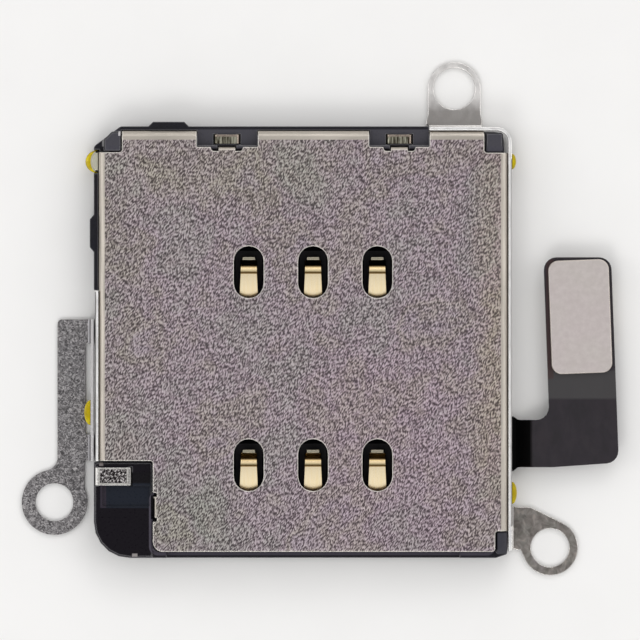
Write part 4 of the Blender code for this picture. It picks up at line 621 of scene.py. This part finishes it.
clipLook = {
    "shader": {"Metallic": 1.0},
    # coined skin, drawn at 0.1 mm where the real one is too fine to show
    "grain": (0.10, 0.10, 0.10), "detail": 1.0, "twist": 1.0,
    "tones": ["#b5b3b1", "#d0cecb", "#e6e4e1"],
    "cloud": 0.8, "clouds": ["#787a72", "#80807c", "#8a827e"], "cloudy": 0.4,
    # painted light on the bends and a painted highlight along every edge
    "turns": (0.98, 0.8), "slopeLightShade": ["#c9c7c4", "#f2f0ed"], "rim": "#f5f3f0", "rimRough": 0.22,
    "round": 0.02, "rough": (0.3, 0.5), "dent": 0.01,
    # knurled panels: plan box, size of one knurl, its turn and its tones
    "panels": [((-8.04, -5.60, -6.98, -5.05), (0.05, 0.085, 0.1), -35.0,
                ["#141213", "#3b3637", "#6d6868", "#d8d4d2"]),
               ((-6.90, -5.66, -6.86, -5.02), (0.1, 0.1, 0.1), 0.0, ["#1c1a1b", "#3c393a"])],
    "knurl": {"Distortion": 0.4}, "knurlSpread": (0.38, 0.62), "panelRound": 0.02,
    "panelSoft": 0.01,
}
# the two at the back are duller and pinkish, and have upright ribs
# with their own painted light on the bends and a painted highlight along the edges
lockLook = dict(
    clipLook, tones=["#8f8278", "#a2958a", "#b8aa9d"], slopeLightShade=["#8f8278", "#a89a8d"], rim="#c6b7a9",
    panels=[(box, (0.042, 0.6, 0.1), 0.0, ["#2e261e", "#6d6a5c", "#a9a797"])
            for box in ((-3.54, 7.76, -2.62, 8.08), (3.27, 7.76, 4.19, 8.08))])


def clipFinish(name, look):
    material = grainFinish(name, look)
    tree = material.node_tree
    target = tree.nodes["Principled BSDF"].inputs["Base Color"]
    for box, grain, turn, tones in look["panels"]:
        _, knurl = noiseTones(tree, grainSpace(tree, grain, turn), tones, look["knurlSpread"],
                              look["knurl"])
        mask = boxMask(tree, box, look["panelRound"], look["panelSoft"])
        below = target.links[0].from_socket
        tree.links.new(over(tree, below, knurl.outputs["Color"], mask), target)
    return material


coat(clipFinish("nickelSilverCoined", clipLook), "rod_clip")
coat(clipFinish("nickelSilverRibbed", lockLook), "lock_clip_1", "lock_clip_2")
print("clips done")


# Springs, lever, rod and pin: steel strip and wire parts with a plain rolled or turned face

stripLook = {
    "shader": {"Metallic": 1.0},
    # rolling lines, near 0.01 mm and drawn at 0.05 mm so that they show
    "grain": (0.05, 0.6, 0.05), "detail": 2.0, "twist": 0.0,
    "tones": ["#a5a29d", "#b7b4af", "#c9c6c1"],
    "cloud": 0.9, "clouds": ["#7c7c7c", "#848482"], "cloudy": 0.3,
    # painted light on the bends and a painted highlight along every edge
    "turns": (0.97, 0.8), "slopeLightShade": ["#b4b1ac", "#cfccc7"], "rim": "#dedbd6", "rimRough": 0.28,
    "round": 0.02, "rough": (0.26, 0.38), "dent": 0.004,
}
stripSteel = grainFinish("springSteelRolled", stripLook)
coat(stripSteel, "latch_spring", "detect_spring", "detect_terminal", "eject_lever", "lever_pin")
# the rod's driving end is eased back, so that it clears the lever at the end of its push
rodLook = {"ease": 0.02, "end": 0.2}


def easeRod():
    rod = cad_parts["eject_rod"]
    mesh = rod.data.copy()
    mesh.name = "rod_eased"
    back = max(vertex.co.y for vertex in mesh.vertices)
    for vertex in mesh.vertices:
        if vertex.co.y > back - rodLook["end"] * mm:
            vertex.co.y -= rodLook["ease"] * mm
    piece = link("rod_eased", mesh, stripSteel, "rod", rod.location / mm)
    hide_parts("eject_rod")


easeRod()
print("mechanism done")


# Flex tail: polyimide film with a black matt coverlay, laminated over copper, dark warm grey with a
# paler adhesive band below the plate, painted shade where it slopes, and a light cut edge that is
# partly the film's clear margin and partly a painted highlight

filmLook = {
    "shader": {"IOR": 1.5, "Specular IOR Level": 0.3},
    # the laminate's slow unevenness over its tracks
    "grain": (0.5, 0.8, 0.5), "detail": 3.0, "twist": 0.3,
    "tones": ["#231e23", "#292329", "#2f292e"],
    "cloud": 2.0, "clouds": ["#86787c", "#7c8284", "#827c88"], "cloudy": 0.4,
    # painted shade, near black, on the slopes, and a light edge that is partly the film's clear
    # margin and partly a painted highlight
    "turns": (0.8, 0.5), "slopeLightShade": ["#0c0a0a", "#171314"], "rim": "#6d6a6b", "rimRough": 0.4,
    "round": 0.02, "rough": (0.40, 0.5), "dent": 0.006,
    "patches": [
        # painted shade over the ramp beside the frame, and a paler adhesive band below the plate
        {"box": (7.0, -5.6, 8.95, -2.6), "soft": 0.12, "colour": "#020202", "gloss": 0.08},
        {"box": (9.6, -2.22, 12.6, -1.2), "soft": 0.10, "colour": "#3a3839"},
        # reddish copper tint that shows along the plate's left and lower edges
        {"box": (9.62, -1.45, 9.86, 3.2), "soft": 0.06, "colour": "#3a2320", "amount": 0.6},
    ],
}
coat(grainFinish("polyimideBlackCoverlay", filmLook), "flex_circuit")

# stiffener: stainless sheet with a fine satin face, which spreads its light into a pinkish grey
plateLook = {
    "shader": {"Metallic": 0.6},
    # satin lines are near 0.01 mm and are drawn as a mottle of 0.25 mm
    "grain": (0.25, 0.25, 0.25), "detail": 2.0, "twist": 0.0,
    "tones": ["#c9c2c0", "#cdc6c4", "#d2cbc9"],
    "cloud": 2.4, "clouds": ["#7c8478", "#807c7c", "#887c80"], "cloudy": 0.3,
    # painted shade on the bends and a painted highlight along every edge
    "turns": (0.97, 0.8), "slopeLightShade": ["#b8aea8", "#c6bdb6"], "rim": "#e6ddd2", "rimRough": 0.3,
    "round": 0.03, "rough": (0.42, 0.5), "dent": 0.002,
}
coat(grainFinish("stainlessSatinPlate", plateLook), "connector_stiffener")
print("flex tail done")


# Plug under the stiffener: the same black LCP, gold-plated terminals, and nails of bright strip

coat(housingPlastic, "connector_plug")
coat(gold, *[f"plug_terminal_{index}" for index in range(1, 13)])
coat(stripSteel, "plug_nail_1", "plug_nail_2")
print("plug done")


# Glue dots: yellow UV-cured acrylate, a wet gloss over a strong yellow that goes olive at the rim

glueLook = {
    "shader": {"IOR": 1.5, "Specular IOR Level": 0.3, "Coat Weight": 0.15, "Coat Roughness": 0.1},
    # the slow waves that a dot keeps as it cures
    "grain": (0.35, 0.35, 0.35), "detail": 2.0, "twist": 0.0,
    "tones": ["#c6b200", "#dcc800", "#e8d810"],
    "cloud": 0.6, "clouds": ["#807c78", "#868478"], "cloudy": 0.3,
    # painted shade, olive, on the slopes and along the edges of each dot
    "turns": (0.6, 0.1), "slopeLightShade": ["#a08c08", "#b8a40a"], "rim": "#a39208", "rimRough": 0.25,
    "round": 0.08, "rough": (0.2, 0.3), "dent": 0.004,
}
coat(grainFinish("acrylateYellowCured", glueLook), *[f"glue_dot_{index}" for index in range(1, 5)])
# lug beside the back left dot: tumbled zinc casting, a pale warm grey
# with painted shade, darker than its tones, on its slopes and edges
lugLook = dict(stripLook, tones=["#d2d0be", "#e6e4d2", "#f4f2e2"], slopeLightShade=["#a3a193", "#bbb9aa"],
               rim="#c9c7b6")
coat(grainFinish("zincCastGrey", lugLook), "corner_lug")
print("glue done")
